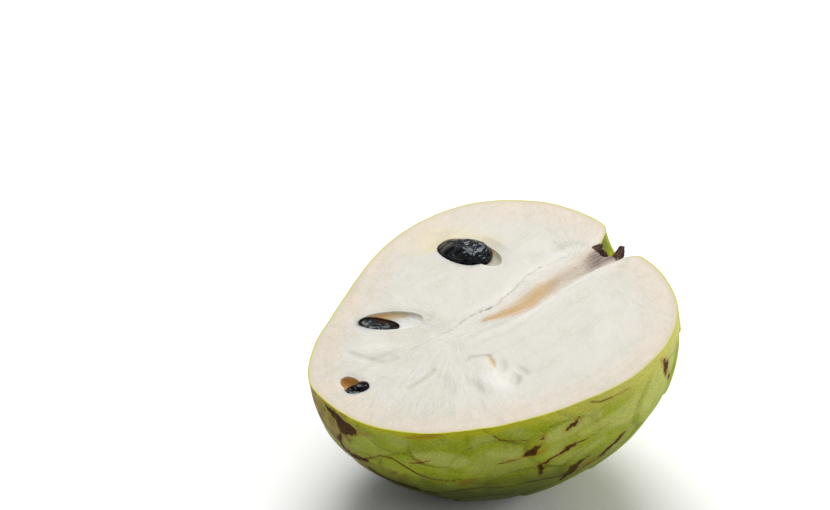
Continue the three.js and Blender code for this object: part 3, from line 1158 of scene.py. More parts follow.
def node(tree, kind, *inputs, output=None, **options):
    """Adds a node with its options and inputs, and gives its first output or the one named.

    An input of None is left as it is.
    """
    made = tree.nodes.new("ShaderNode" + kind)
    for option, value in options.items():
        setattr(made, option, value)
    shown = [socket for socket in made.inputs if socket.enabled]
    for socket, value in zip(shown, inputs):
        if value is not None:
            feed(tree, socket, value)
    if output:
        return made.outputs[output]
    return next(socket for socket in made.outputs if socket.enabled)


def new_material(name):
    """An empty material and its node tree."""
    material = bpy.data.materials.new(name)
    material.use_nodes = True
    return material, material.node_tree


def finish(tree, surface, height=None, strength=0.9):
    """Gives the surface shader its inputs, and its relief from a height in millimetres."""
    shader = tree.nodes["Principled BSDF"]
    for name, value in surface.items():
        feed(tree, shader.inputs[name], value)
    if height is not None:
        feed(tree, shader.inputs["Normal"], node(tree, "Bump", strength, 1 * MM, None, height))


def swayed(tree, value, noise, reach):
    """A value moved up and down by noise, by half the reach at most."""
    sway = node(tree, "Math", noise, 0.5, operation="SUBTRACT")
    return node(tree, "Math", sway, reach, value, operation="MULTIPLY_ADD")


def wandering_lines(tree, noise, width, strength):
    """Fine lines that wander wherever noise passes through its middle value."""
    offset = node(tree, "Math", noise, 0.5, operation="SUBTRACT")
    gap = node(tree, "Math", offset, operation="ABSOLUTE")
    return node(tree, "MapRange", gap, width, 0.0, 0.0, strength, **SMOOTH)


def skin_bloom(tree, clouds, patches, below_cut, stalk_end):
    """How thick the bloom lies: most in the middle of each scale, not where it is burnt, and thinner
    towards the underside as painted shade.
    """
    reach, tone, depth, burn = (
        node(tree, "Attribute", output="Fac", attribute_name=name)
        for name in ("scale_reach", "scale_tone", "bloom_depth", "burn")
    )
    tone = node(tree, "MapRange", tone, 0.0, 1.0, 0.2, 0.85, **SMOOTH)
    heart = node(tree, "MapRange", reach, 0.98, 0.55, 0.0, tone, **SMOOTH)
    by_stalk = node(tree, "Math", stalk_end, 0.6, operation="MULTIPLY")
    even = node(tree, "Math", heart, by_stalk, operation="MAXIMUM")
    patchy = node(tree, "MapRange", clouds, 0.38, 0.6, 0.0, even, **SMOOTH)
    laid = swayed(tree, depth, patches, 1.8 * MM)
    thick = node(tree, "MapRange", laid, -0.7 * MM, 1.4 * MM, 0.0, 0.75, **SMOOTH)
    bloom = node(tree, "Math", patchy, thick, operation="MAXIMUM")
    fresh = node(tree, "MapRange", burn, 0.0, 0.6, 1.0, 0.2, **SMOOTH)
    # Painted shade: the bloom thins towards the underside.
    clear_of_painted_shade = node(tree, "MapRange", below_cut, 12 * MM, 26 * MM, 1.0, 0.35, **SMOOTH)
    kept = node(tree, "Math", fresh, clear_of_painted_shade, operation="MULTIPLY")
    return node(tree, "Math", bloom, kept, operation="MULTIPLY")


def living_skin(tree, place, edge, below_cut, stalk_end):
    """The living skin's colour: green, with pale scales, bright along the cut, and olive in the scales'
    valleys, partly painted shade.
    """
    look = settings().skin
    clouds = node(tree, "TexNoise", place, 1 / (16 * MM), 3, 0.6, None, 0.4)
    patches = node(tree, "TexNoise", place, 1 / (6 * MM), 3, 0.6, None, 0.6)
    shade = node(tree, "MapRange", patches, 0.42, 0.72, 0.0, 0.35, **SMOOTH)
    body = node(tree, "Mix", shade, look.green, look.olive, **COLOURS)
    bloom = skin_bloom(tree, clouds, patches, below_cut, stalk_end)
    body = node(tree, "Mix", bloom, body, look.pale, **COLOURS)

    # The skin is thin and bright along the cut.
    band = swayed(tree, below_cut, patches, 3 * MM)
    reach = node(tree, "MapRange", stalk_end, 0.0, 1.0, 3 * MM, 7 * MM, **SMOOTH)
    share = node(tree, "Math", band, reach, operation="DIVIDE")
    narrow = node(tree, "MapRange", share, 1.0, 0.15, 0.0, 0.92, **SMOOTH)
    bright = node(tree, "Mix", stalk_end, look.lime, look.sunny, **COLOURS)
    body = node(tree, "Mix", narrow, body, bright, **COLOURS)

    # Olive down in the valleys at the scales' edges, which come and go: painted shade over a wide band
    # and over the stalk pit's wall, and the skin's darker line along each edge.
    open_skin = node(tree, "MapRange", stalk_end, 0.0, 1.0, 1.0, 0.45, **SMOOTH)
    painted_valley_shade = node(tree, "MapRange", edge, 1.1 * MM, 0.0, 0.0, open_skin, **SMOOTH)
    crisp = node(tree, "MapRange", edge, 0.45 * MM, 0.0, 0.0, 0.8, **SMOOTH)
    valley = node(tree, "Math", painted_valley_shade, crisp, operation="MAXIMUM")
    dusk = node(tree, "TexNoise", place, 1 / (9 * MM), 2, 0.5, None, 0.5)
    dusky = node(tree, "MapRange", dusk, 0.36, 0.58, 0.25, 0.95, **SMOOTH)
    edge_lines_and_valley_shade = node(tree, "Math", valley, dusky, operation="MULTIPLY")
    return node(tree, "Mix", edge_lines_and_valley_shade, body, look.olive, **COLOURS)


def sunburnt_skin(tree, body, scar, line, stain, fleck, blotches):
    """The skin tanned at its tip, along rubbed stretches and softly round each scar and line."""
    look = settings().skin
    burn = node(tree, "Attribute", output="Fac", attribute_name="burn")
    sunburn = swayed(tree, swayed(tree, burn, fleck, 1.8), blotches, 1.8)
    burnt = node(tree, "MapRange", sunburn, 0.4, 1.0, **SMOOTH)
    tanned = node(tree, "Math", burnt, 0.65, operation="MULTIPLY")
    borders = (
        (scar, -1.3 * MM, 0.1 * MM, 0.6),
        (line, -0.7 * MM, 0.0, 0.35),
        (stain, -0.6 * MM, 0.9 * MM, 0.7),
    )
    for depth, outside, inside, share in borders:
        border = node(tree, "MapRange", depth, outside, inside, 0.0, share, **SMOOTH)
        tanned = node(tree, "Math", tanned, border, operation="MAXIMUM")
    body = node(tree, "Mix", tanned, body, look.tan, **COLOURS)
    rough = node(tree, "MapRange", fleck, 0.45, 0.62, 0.0, 0.45, **SMOOTH)
    chapped = node(tree, "Math", burnt, rough, operation="MULTIPLY")
    return node(tree, "Mix", chapped, body, look.cork, **COLOURS)


def cork_share(tree, place, edge, scarred, line, fray):
    """How far the skin is cork: healed scars, thin lines, and a few of the scales' edges."""
    lined = node(tree, "MapRange", line, -0.2 * MM, 0.08 * MM, 0.0, 0.85, **SMOOTH)
    wear = node(tree, "TexNoise", place, 1 / (11 * MM), 3, 0.6, None, 0.8)
    worn = node(tree, "MapRange", wear, 0.56, 0.68, 0.0, 0.7, **SMOOTH)
    rim = swayed(tree, edge, fray, 0.5 * MM)
    rim = node(tree, "MapRange", rim, 0.15 * MM, -0.15 * MM, 0.0, worn, **SMOOTH)
    marked = node(tree, "Math", scarred, lined, operation="MAXIMUM")
    return node(tree, "Math", marked, rim, operation="MAXIMUM")


def cork_colour(tree, fleck, fray):
    """Cork's brown, with tan where it peels."""
    look = settings().skin
    healed = node(tree, "MapRange", fleck, 0.42, 0.62, 0.0, 0.1, **SMOOTH)
    peeling = node(tree, "MapRange", fray, 0.45, 0.7, 0.0, 0.3, **SMOOTH)
    flaky = node(tree, "Math", healed, peeling, operation="MAXIMUM")
    return node(tree, "Mix", flaky, look.cork, look.tan, **COLOURS)


def painted_underside_shade(tree, place, body, below_cut, stalk_end):
    """Painted shade: the skin darkened towards the underside, less at the stalk end, where the fruit's
    own shadow falls.
    """
    clouds = node(tree, "TexNoise", place, 1 / (12 * MM), 3, 0.6, None, 0.4)
    lowest = swayed(tree, below_cut, clouds, 12 * MM)
    faced = node(tree, "MapRange", stalk_end, 0.0, 1.0, 0.85, 0.35, **SMOOTH)
    # Painted shade: how far the underside is darkened.
    under = node(tree, "MapRange", lowest, 12 * MM, 27 * MM, 0.0, faced, **SMOOTH)
    return node(tree, "Mix", under, body, settings().skin.shade, **COLOURS)


def cut_rind(tree, body):
    """The skin where the knife went through: green outside runs quickly into cream."""
    look = settings().skin
    depth = node(tree, "Attribute", output="Fac", attribute_name="skin_depth")
    layer = node(tree, "MapRange", depth, 0.05 * MM, 0.6 * MM, **SMOOTH)
    section = node(tree, "Mix", layer, look.lime, look.section, **COLOURS)
    cut_through = node(tree, "MapRange", depth, 0.02 * MM, 0.06 * MM, **SMOOTH)
    return node(tree, "Mix", cut_through, body, section, **COLOURS)


def skin_relief(tree, edge, line, dots, scarred, fray):
    """Grooves at the scales' edges, furrows along the lines, pimples and scabs."""
    groove = node(tree, "MapRange", edge, 0.0, 0.5 * MM, 0.0, 0.06, **SMOOTH)
    furrow = node(tree, "MapRange", line, -0.3 * MM, 0.1 * MM, 0.0, -0.16, **SMOOTH)
    height = node(tree, "Math", groove, furrow, operation="ADD")
    height = node(tree, "Math", dots, 0.09, height, operation="MULTIPLY_ADD")
    scab = node(tree, "Math", scarred, fray, operation="MULTIPLY")
    return node(tree, "Math", scab, 0.3, height, operation="MULTIPLY_ADD")


def skin_material():
    """Living custard apple skin: waxy and smooth, with a soft sheen, dull where it has healed."""
    look = settings().skin
    material, tree = new_material("custard_apple_skin_waxy")
    place = node(tree, "Attribute", output="Vector", attribute_name="fruit_place")
    edge, below_cut, stalk_end, scar, line, stain = (
        node(tree, "Attribute", output="Fac", attribute_name=name)
        for name in ("scale_edge", "below_cut", "stalk_end", "scar_depth", "line_depth", "stain_depth")
    )
    body = living_skin(tree, place, edge, below_cut, stalk_end)

    # Fine pale and dark dots all over.
    dots = node(tree, "TexNoise", place, 1 / look.speckle, 3, 0.75)
    speckled = node(tree, "MapRange", dots, 0.34, 0.66, **SMOOTH)
    dark = node(tree, "Mix", 0.36, body, look.olive, **COLOURS)
    light = node(tree, "Mix", 0.36, body, look.lime, **COLOURS)
    body = node(tree, "Mix", speckled, dark, light, **COLOURS)

    # The marks have ragged ends: how deep a point lies in them is swayed by noise.
    fray = node(tree, "TexNoise", place, 1 / (1.1 * MM), 4, 0.7)
    fleck = node(tree, "TexNoise", place, 1 / (3.2 * MM), 3, 0.65)
    blotches = node(tree, "TexNoise", place, 1 / (6 * MM), 3, 0.65, None, 0.5)
    scar = swayed(tree, swayed(tree, scar, fleck, 2.4 * MM), fray, 2.4 * MM)
    line = swayed(tree, line, fray, 0.5 * MM)
    stain = swayed(tree, stain, fleck, 3.2 * MM)
    body = sunburnt_skin(tree, body, scar, line, stain, fleck, blotches)
    scarred = node(tree, "MapRange", scar, -0.4 * MM, 0.1 * MM, **SMOOTH)
    corky = cork_share(tree, place, edge, scarred, line, fray)
    body = node(tree, "Mix", corky, body, cork_colour(tree, fleck, fray), **COLOURS)

    # Painted shade on the underside.
    body = painted_underside_shade(tree, place, body, below_cut, stalk_end)
    waxy = node(tree, "MapRange", dots, 0.2, 0.8, 0.44, 0.58, **SMOOTH)
    dull = node(tree, "Math", corky, 0.85, operation="MULTIPLY")
    surface = {
        "Base Color": cut_rind(tree, body),
        "Roughness": node(tree, "Math", waxy, dull, operation="MAXIMUM"),
        "IOR": 1.42,
        "Specular IOR Level": 0.17,
        "Specular Tint": (1, 1, 0.75),
    }
    finish(tree, surface, skin_relief(tree, edge, line, dots, scarred, fray))
    return material


def glassy_pulp(tree, body, patches, threads):
    """The pulp glassy in patches; painted shade makes sunk dimples glassy grey, painted light makes
    raised dimples and pockets' floors whiter, and it is whiter along the core.
    """
    look = settings().pulp
    soaked, plump, near_core = (
        node(tree, "Attribute", output="Fac", attribute_name=name)
        for name in ("soaked", "plump", "near_core")
    )
    streaky = node(tree, "MapRange", threads, 0.3, 0.7, 0.2, 0.5, **SMOOTH)
    glassy = node(tree, "MapRange", patches, 0.42, 0.72, 0.0, streaky, **SMOOTH)
    # Painted shade: sunk dimples are glassy grey.
    clear = node(tree, "Math", glassy, soaked, operation="MAXIMUM")
    body = node(tree, "Mix", clear, body, look.glassy, **COLOURS)
    # Painted light: raised dimples and the pockets' floors are whiter; so is the pulp beside the core.
    seam = node(tree, "Math", near_core, 0.12, operation="MULTIPLY")
    whitened = node(tree, "Math", plump, seam, operation="MAXIMUM")
    return node(tree, "Mix", whitened, body, WHITE, **COLOURS)


def lined_pulp(tree, place, body, rim, patches, threads):
    """The pulp with fine fibres, tan veins near the rind, and ripples all over."""
    fine = node(tree, "MapRange", threads, 0.5, 0.72, 0.0, 0.13, **SMOOTH)
    firm = node(tree, "MapRange", rim, 15 * MM, 5 * MM, 0.0, 0.11, **SMOOTH)
    wander = node(tree, "TexNoise", place, 1 / (7 * MM), 3, 0.55, None, 1.0)
    veins = wandering_lines(tree, wander, 0.045, firm)
    stirred = node(tree, "MapRange", patches, 0.38, 0.6, 0.04, 0.15, **SMOOTH)
    eddies = node(tree, "TexNoise", place, 1 / (3 * MM), 3, 0.6, None, 1.4)
    ripples = wandering_lines(tree, eddies, 0.03, stirred)
    for lines in (fine, veins, ripples):
        body = node(tree, "Mix", lines, body, settings().pulp.crease, **COLOURS)
    return body


def tissue_colour(tree, place):
    """The pulp's colour and relief: cream at the rind, white inside, with fibres from the core."""
    look = settings().pulp
    rim = node(tree, "Attribute", output="Fac", attribute_name="rim_depth")
    patches = node(tree, "TexNoise", place, 1 / (9 * MM), 2, 0.5, None, 0.6)
    ripe = swayed(tree, rim, patches, 8 * MM)
    cream = node(tree, "MapRange", ripe, 13 * MM, 0.5 * MM, **SMOOTH)
    body = node(tree, "Mix", cream, look.white, look.cream, **COLOURS)

    # Threads and bundles of fibres run out from the core.
    spokes = node(tree, "Attribute", output="Vector", attribute_name="fibre_place")
    threads = node(tree, "TexNoise", spokes, 1 / look.grain, 3, 0.6, None, 1.5)
    bundles = node(tree, "TexNoise", spokes, 1 / (3.5 * MM), 3, 0.6, None, 1.2)
    body = glassy_pulp(tree, body, patches, threads)
    body = lined_pulp(tree, place, body, rim, patches, threads)

    # What is painted on: the creases, and the walls of the pockets.
    for name, tint in (("crease", look.crease), ("lining", look.tan), ("amber", look.amber)):
        painted = node(tree, "Attribute", output="Fac", attribute_name=name)
        body = node(tree, "Mix", painted, body, tint, **COLOURS)

    cells = node(tree, "TexNoise", place, 1 / (0.8 * MM), 2, 0.6)
    height = node(tree, "Math", threads, 0.1, operation="MULTIPLY")
    height = node(tree, "Math", bundles, 0.22, height, operation="MULTIPLY_ADD")
    return body, node(tree, "Math", cells, 0.08, height, operation="MULTIPLY_ADD")


def finish_tissue(tree, body, height, roughness=0.42):
    """Moist plant tissue: light sinks a few millimetres in, under a thin wet film."""
    inside = node(tree, "Attribute", output="Fac", attribute_name="inside")
    surface = {
        "Base Color": body,
        "Roughness": roughness,
        "IOR": 1.38,
        "Subsurface Weight": node(tree, "Math", inside, 0.6, operation="MULTIPLY"),
        "Subsurface Radius": (1.0, 0.9, 0.7),
        "Subsurface Scale": 2.4 * MM,
    }
    finish(tree, surface, height)


def pulp_material():
    """Ripe custard apple pulp, cut with a knife: white, soft and moist."""
    material, tree = new_material("custard_apple_pulp_cut")
    place = node(tree, "Attribute", output="Vector", attribute_name="fruit_place")
    finish_tissue(tree, *tissue_colour(tree, place))
    return material


def core_colour(tree, place):
    """The core's colour and relief: pulp with tan and purplish fibres up the middle."""
    look = settings().pulp
    body, height = tissue_colour(tree, place)
    body = node(tree, "Mix", 0.18, body, WARM_WHITE, **COLOURS)

    # The fibres are drawn out along the core.
    along = node(tree, "Mapping", place, None, None, (0.1, 1, 1))
    fibres = node(tree, "TexNoise", along, 1 / (0.5 * MM), 4, 0.7, None, 0.4)
    bundles = node(tree, "TexNoise", along, 1 / (1.6 * MM), 3, 0.6, None, 0.6)
    streak = node(tree, "Attribute", output="Fac", attribute_name="streak")
    blush = swayed(tree, streak, bundles, 0.8)
    blush = node(tree, "MapRange", blush, -0.8, 0.6, 0.0, 0.3, **SMOOTH)
    body = node(tree, "Mix", blush, body, look.fibre, **COLOURS)

    stalkward = node(tree, "Attribute", output="Fac", attribute_name="stalkward")
    hue = node(tree, "Mix", stalkward, look.fibre, look.bruise, **COLOURS)
    share = node(tree, "MapRange", stalkward, 0.0, 1.0, 0.72, 0.2, **SMOOTH)
    strength = swayed(tree, swayed(tree, streak, fibres, 1.5), bundles, 0.7)
    coloured = node(tree, "MapRange", strength, 0.0, 0.85, 0.0, share, **SMOOTH)
    body = node(tree, "Mix", coloured, body, hue, **COLOURS)

    shorter = node(tree, "Mapping", place, None, None, (0.25, 1, 1))
    flecks = node(tree, "TexNoise", shorter, 1 / (0.4 * MM), 3, 0.7, None, 0.3)
    inner = node(tree, "MapRange", streak, 0.0, 0.6, 0.0, 0.5, **SMOOTH)
    flecked = node(tree, "MapRange", flecks, 0.52, 0.7, 0.0, inner, **SMOOTH)
    body = node(tree, "Mix", flecked, body, hue, **COLOURS)

    torn = node(tree, "Attribute", output="Fac", attribute_name="torn")
    frayed = node(tree, "MapRange", fibres, 0.36, 0.6, 0.55, 1.0, **SMOOTH)
    torn = node(tree, "Math", torn, frayed, operation="MULTIPLY")
    body = node(tree, "Mix", torn, body, look.bruise, **COLOURS)
    return body, node(tree, "Math", fibres, 0.25, height, operation="MULTIPLY_ADD")


def core_material():
    """The fibrous core, cut along its length, as moist as the pulp."""
    material, tree = new_material("custard_apple_core_fibrous")
    place = node(tree, "Attribute", output="Vector", attribute_name="fruit_place")
    finish_tissue(tree, *core_colour(tree, place))
    return material


def scar_material():
    """Stalk tissue: living where it joins the core, dried, brown and crusty where it is torn."""
    look = settings().scar
    material, tree = new_material("dried_stalk_tissue_torn")
    place = node(tree, "Attribute", output="Vector", attribute_name="fruit_place")
    body, height = core_colour(tree, place)
    along = node(tree, "Mapping", place, None, None, (0.4, 1, 1))
    fibres = node(tree, "TexNoise", along, 1 / (0.6 * MM), 4, 0.75, None, 0.5)
    crusted = node(tree, "MapRange", fibres, 0.38, 0.68, **SMOOTH)
    brown = node(tree, "Mix", crusted, look.dark, look.brown, **COLOURS)
    dryness = node(tree, "Attribute", output="Fac", attribute_name="dryness")
    dry = swayed(tree, dryness, fibres, 1.2)
    dry = node(tree, "MapRange", dry, 0.3, 0.6, **SMOOTH)
    body = node(tree, "Mix", dry, body, brown, **COLOURS)
    crust = node(tree, "Math", fibres, dry, operation="MULTIPLY")
    height = node(tree, "Math", crust, 0.7, height, operation="MULTIPLY_ADD")
    roughness = node(tree, "MapRange", dry, 0.0, 1.0, 0.42, 0.85, **SMOOTH)
    finish_tissue(tree, body, height, roughness)
    return material


def seed_material():
    """A hard seed coat, wet and glossy, with dull dirt left in its pits."""
    look = settings().seed
    material, tree = new_material("custard_apple_seed_coat")
    place = node(tree, "Attribute", output="Vector", attribute_name="fruit_place")
    pit = node(tree, "Attribute", output="Fac", attribute_name="pit")
    mottle = node(tree, "TexNoise", place, 1 / (1.2 * MM), 2, 0.5)
    mottled = node(tree, "MapRange", mottle, 0.55, 0.7, **SMOOTH)
    dull = node(tree, "Math", pit, mottled, operation="MAXIMUM")
    smears = node(tree, "TexNoise", place, 1 / (3 * MM), 3, 0.6, None, 0.8)
    wet = node(tree, "MapRange", smears, 0.4, 0.62, 0.1, 0.2, **SMOOTH)
    dried = node(tree, "Math", dull, 0.4, operation="MULTIPLY")

    # Broad facets, fine grain and hairlines in the coat.
    facets = node(tree, "TexNoise", place, 1 / (4.2 * MM), 1, 0.4, None, 0.3)
    height = node(tree, "Math", facets, 1.9, operation="MULTIPLY")
    height = node(tree, "Math", mottle, 0.09, height, operation="MULTIPLY_ADD")
    cracks = node(tree, "TexNoise", place, 1 / (5 * MM), 1, 0.5, None, 0.8)
    hairlines = wandering_lines(tree, cracks, 0.03, 0.2)
    height = node(tree, "Math", height, hairlines, operation="SUBTRACT")
    surface = {
        "Base Color": node(tree, "Mix", dull, look.black, look.worn, **COLOURS),
        "Roughness": node(tree, "Math", wet, dried, operation="MAXIMUM"),
        "Specular IOR Level": node(tree, "MapRange", dull, 0.0, 0.8, 0.31, 0.06, **SMOOTH),
        "Specular Tint": (0.8, 0.9, 1.0),
    }
    finish(tree, surface, height, 1.0)
    return material


def table_material():
    """A white painted table, matt."""
    material, tree = new_material("white_painted_table")
    place = node(tree, "TexCoord", output="Object")
    even = node(tree, "TexNoise", place, 1 / (40 * MM))
    shade = node(tree, "Math", even, 0.02, operation="MULTIPLY")
    body = node(tree, "Mix", shade, settings().stage.floor, WHITE, **COLOURS)
    finish(tree, {"Base Color": body, "Roughness": 0.5})
    return material


# ---- Painting ----


def paint_skin(mesh):
    """Keeps the scales, marks and cut of the rind at each of its points."""
    points = places_of(mesh)
    radius = np.linalg.norm(points, axis=1)
    towards = points / radius[:, None]
    field = ScaleField(towards)
    grown, relief_left = skin_fade(towards), calm(towards)
    scaled = smooth_radius(towards) + grown * relief_left * field.relief
    surface = np.minimum(scaled, floor_radius(towards))
    paint(mesh, "skin_depth", np.maximum(surface - radius, 0))
    paint(mesh, "scale_reach", 1 - (1 - field.reach) * grown)
    paint(mesh, "scale_tone", field.tone)

    pit = smoothstep(towards[:, 0], *PIT_WALL)
    edge = field.edge + (1 - grown) * 2 * MM + (1 - relief_left) * 0.6 * MM
    # The pit's wall counts as one valley, so that it gets painted shade all over.
    paint(mesh, "scale_edge", (1 - pit) * edge + pit * PIT_EDGE * MM)
    paint(mesh, "below_cut", PIT_BAND * MM * pit - points[:, 2])
    paint(mesh, "stalk_end", (1 - pit) * smoothstep(points[:, 0] / MM, *PALE_END))

    marks = {"scar_depth": SCARS, "line_depth": LINES, "stain_depth": STAINS, "bloom_depth": BLOOMS}
    for name, paths in marks.items():
        paint(mesh, name, skin_marks(towards, paths))
    tip = smoothstep(-towards[:, 0], *BURNT_TIP)
    flank = smoothstep(-towards[:, 0], *BURNT_FLANK) * smoothstep(-towards[:, 2], *BURNT_DOWN)
    paint(mesh, "burn", np.max([tip, 0.7 * flank, 0.3 * pit], axis=0))


def paint_tissue(mesh):
    """Keeps what the pulp's material reads at each point of the flesh, core or torn stalk."""
    points = places_of(mesh)
    flat = points[:, :2]
    radius = np.linalg.norm(points, axis=1)
    rim = smooth_radius(points / np.maximum(radius, 1e-9)[:, None]) - radius
    near, far = core_edges(flat[:, 0])
    beside = np.maximum(np.maximum(near - flat[:, 1], flat[:, 1] - far), 0)
    past = np.maximum(MM * CORE_EDGES[0][0] - flat[:, 0], 0)
    off_core = np.hypot(beside, past)
    paint(mesh, "rim_depth", rim)
    band = np.multiply(MM, SEAM_BAND)
    paint(mesh, "near_core", smoothstep(off_core, *band[::-1]))

    # Light goes deep into the pulp, but not across the seams or at the slit.
    slit = path_share(flat, TAN_SLIT)
    clear = np.minimum(off_core, rim - settings().fruit.rind_thickness)
    paint(mesh, "inside", (1 - slit) * smoothstep(clear, *band))

    # The fibres run out from the core like spokes: slowly out along each, and fast across it.
    along = np.clip(flat[:, 0], FIBRE_START * MM, FIBRE_END * MM)
    spoke = flat - np.stack([along, (near + far) / 2], axis=1)
    out = np.linalg.norm(spoke, axis=1)
    wheel = FIBRE_WHEEL * MM * spoke / np.maximum(out, 5 * MM)[:, None]
    depth = FIBRE_STRETCH * out + points[:, 2]
    paint_places(mesh, "fibre_place", np.column_stack([wheel, depth]))
    paint_hollows(mesh, points, radius, slit)


def paint_hollows(mesh, points, radius, slit):
    """Keeps how far dimples, creases and the pockets' walls colour the pulp at its points."""
    flat = points[:, :2]
    soaked, plump, lining, amber = np.zeros((4, len(points)))
    # Painted shade and light of the face's relief: sunk dimples are painted glassy grey and raised ones
    # whiter, the more the deeper or higher they are.
    for *dimple, depth in DIMPLES:
        hump = np.exp(-((dimple_reach(flat, *dimple) / 1.2) ** 2))
        soaked = np.maximum(soaked, 0.9 * depth * hump)
        plump = np.maximum(plump, -0.45 * depth * hump)

    on_face = smoothstep(points[:, 2], *np.multiply(MM, FACE_PAINT))
    crease = 0.85 * on_face * path_share(strayed(flat), CRACK)
    for *path, depth in CREASES:
        crease = np.maximum(crease, 0.7 * depth * crease_share(flat, *path))

    for name, (tan, gold, spread, shade_halo) in POCKET_TINTS.items():
        seed = SEEDS[name]
        centre = MM * np.array(seed["opening"][0])
        inside = smoothstep(-opening_edge(points, seed), *np.multiply(MM, POCKET_RIM))
        sunk = inside * smoothstep(-points[:, 2], *np.multiply(MM, POCKET_WALL))
        beyond = (flat - centre[:2]) @ UPPER_SIDE
        upper = smoothstep(beyond + 3 * MM * spread, 1.4 * MM, 3.4 * MM)
        outer = smoothstep(radius - np.linalg.norm(centre), -1.0 * MM, 4.5 * MM)
        lining = np.maximum(lining, tan * sunk * upper)
        # Painted light: the pocket's floor, away from its tan side, is painted whiter.
        plump = np.maximum(plump, 0.4 * (1 - spread) * sunk * (1 - upper))
        amber = np.maximum(amber, gold * sunk * upper * (spread + (1 - spread) * outer))
        # Painted shade round the upper seed: a tan band on the cut that fades away from the seed, and
        # the crease colour down its pocket.
        if shade_halo:
            far_side = smoothstep(beyond, 1.5 * MM, 4.5 * MM) * on_face * (1 - inside)
            fading = np.exp(-((np.maximum(pocket_edge(points, seed), 0) / (4.2 * MM)) ** 2))
            lining = np.maximum(lining, shade_halo * far_side * fading)
            crease = np.maximum(crease, 0.6 * shade_halo * sunk)

    paint(mesh, "soaked", soaked)
    paint(mesh, "plump", plump)
    paint(mesh, "crease", crease)
    paint(mesh, "lining", np.maximum(lining, 0.7 * slit))
    paint(mesh, "amber", np.maximum(amber, 0.4 * slit))


def paint_core(mesh):
    """Keeps the coloured fibres up the middle of the core."""
    x, y, _ = places_of(mesh).T / MM
    places, middles, half_widths = zip(*STREAK)
    aside = y - np.interp(x, places, middles)
    inner = 1 - np.abs(aside) / np.interp(x, places, half_widths)
    begun = smoothstep(x, *STREAK_BEGINS)
    paint(mesh, "streak", inner - 2 * (1 - begun))
    paint(mesh, "stalkward", smoothstep(x - 1.2 * aside, *STREAK_TURNS))
    torn = smoothstep(x - 0.5 * aside, *STREAK_TEARS)
    paint(mesh, "torn", 0.95 * torn * smoothstep(inner, -0.1, 0.5))


def paint_scar(mesh):
    """Keeps how far the torn stalk has dried: sooner on the hollow lobe's side."""
    x, y, _ = places_of(mesh).T / MM
    side = smoothstep(y, -2, 3)
    start, end = (at - side * sooner for at, sooner in zip(SCAR_DRIES, SCAR_DRIES_SOONER))
    paint(mesh, "dryness", smoothstep(x, start, end))


def paint_seed(mesh, name, turn):
    """Keeps the pits and the grit of a seed's coat."""
    points = places_of(mesh) - MM * np.array(SEEDS[name]["centre"])
    (dent, dent_heights), (grit, grit_heights) = DENT_DIRT, GRIT_DIRT
    dents = smoothstep(lumps(points, dent * MM, turn + 3), *dent_heights)
    gritty = smoothstep(lumps(points, grit * MM, turn + 7), *grit_heights)
    paint(mesh, "pit", np.maximum(0.8 * dents, SEED_GRIT[name] * gritty))


# ---- The studio ----

# The table's half side, and what the lights are turned to, in metres.
TABLE_HALF = 3.0
LIGHT_AIM = (0, 0, 0.03)

# The softboxes: name, place and side in metres, and the property that holds the power.
SOFTBOXES = (
    ("key_softbox", (0.25, 0.6, 1.15), 1.0, "key_power"),
    ("side_softbox", (1.2, -0.5, 0.4), 0.7, "side_power"),
    ("fill_softbox", (0.3, -1.1, 0.8), 0.8, "fill_power"),
)

# The notch at the stalk end, and how far left of it and above it the camera aims, in millimetres.
STALK_NOTCH = (36, -2.5, 0)
CAMERA_LEFT = 48.5
CAMERA_UP = 1.76


def lay_table():
    """A table that reaches past the picture on every side."""
    half = TABLE_HALF
    corners = np.array([[-half, -half, 0], [half, -half, 0], [half, half, 0], [-half, half, 0]])
    table = new_piece("table", corners, [(0, 1, 2, 3)])
    table.data.materials.append(table_material())


def light_studio(scene, look):
    """White surroundings and softboxes turned to the fruit."""
    world = bpy.data.worlds.new("studio")
    world.use_nodes = True
    surroundings = world.node_tree.nodes["Background"]
    surroundings.inputs["Color"].default_value = (1, 1, 1, 1)
    surroundings.inputs["Strength"].default_value = look.sky
    scene.world = world
    scene.view_settings.view_transform = "Standard"
    for name, place, size, power in SOFTBOXES:
        light = bpy.data.lights.new(name, "AREA")
        light.energy = getattr(look, power)
        light.size = size
        lamp = bpy.data.objects.new(name, light)
        lamp.location = place
        towards = Vector(LIGHT_AIM) - Vector(place)
        lamp.rotation_euler = towards.to_track_quat("-Z", "Y").to_euler()
        scene.collection.objects.link(lamp)


def set_camera(scene, look):
    """The camera, which aims off to the left of the notch at the stalk end."""
    turn, rise = look.camera_turn, look.camera_rise
    back = Vector(
        (math.sin(turn) * math.cos(rise), -math.cos(turn) * math.cos(rise), math.sin(rise))
    )
    right = Vector((math.cos(turn), math.sin(turn), 0))
    up = back.cross(right)
    aim = resting() @ (MM * Vector(STALK_NOTCH)) + MM * (CAMERA_UP * up - CAMERA_LEFT * right)
    camera = bpy.data.objects.new("camera", bpy.data.cameras.new("camera"))
    camera.data.lens = look.lens
    camera.location = aim + look.distance * back
    camera.rotation_euler = Matrix((right, up, back)).transposed().to_euler()
    scene.collection.objects.link(camera)
    scene.camera = camera


# ---- Operators ----


class CUSTARDAPPLE_OT_rind(bpy.types.Operator):
    """Build the rind: scaled skin outside, cut through along its rim"""

    bl_idname = "custardapple.rind"
    bl_label = "Rind"

    def execute(self, context):
        shape = settings().fruit
        rind = round_body("rind_skin", (shape.skin_rows, shape.skin_columns), skin_radius)
        carve(rind, round_body("inside", INSIDE_GRID, inner_radius(shape.rind_thickness)))
        carve(rind, cut_block(), "INTERSECT")
        carve(rind, stalk_hole())
        paint_skin(rind.data)
        settle(rind, skin_material(), ["rind"])
        return {"FINISHED"}


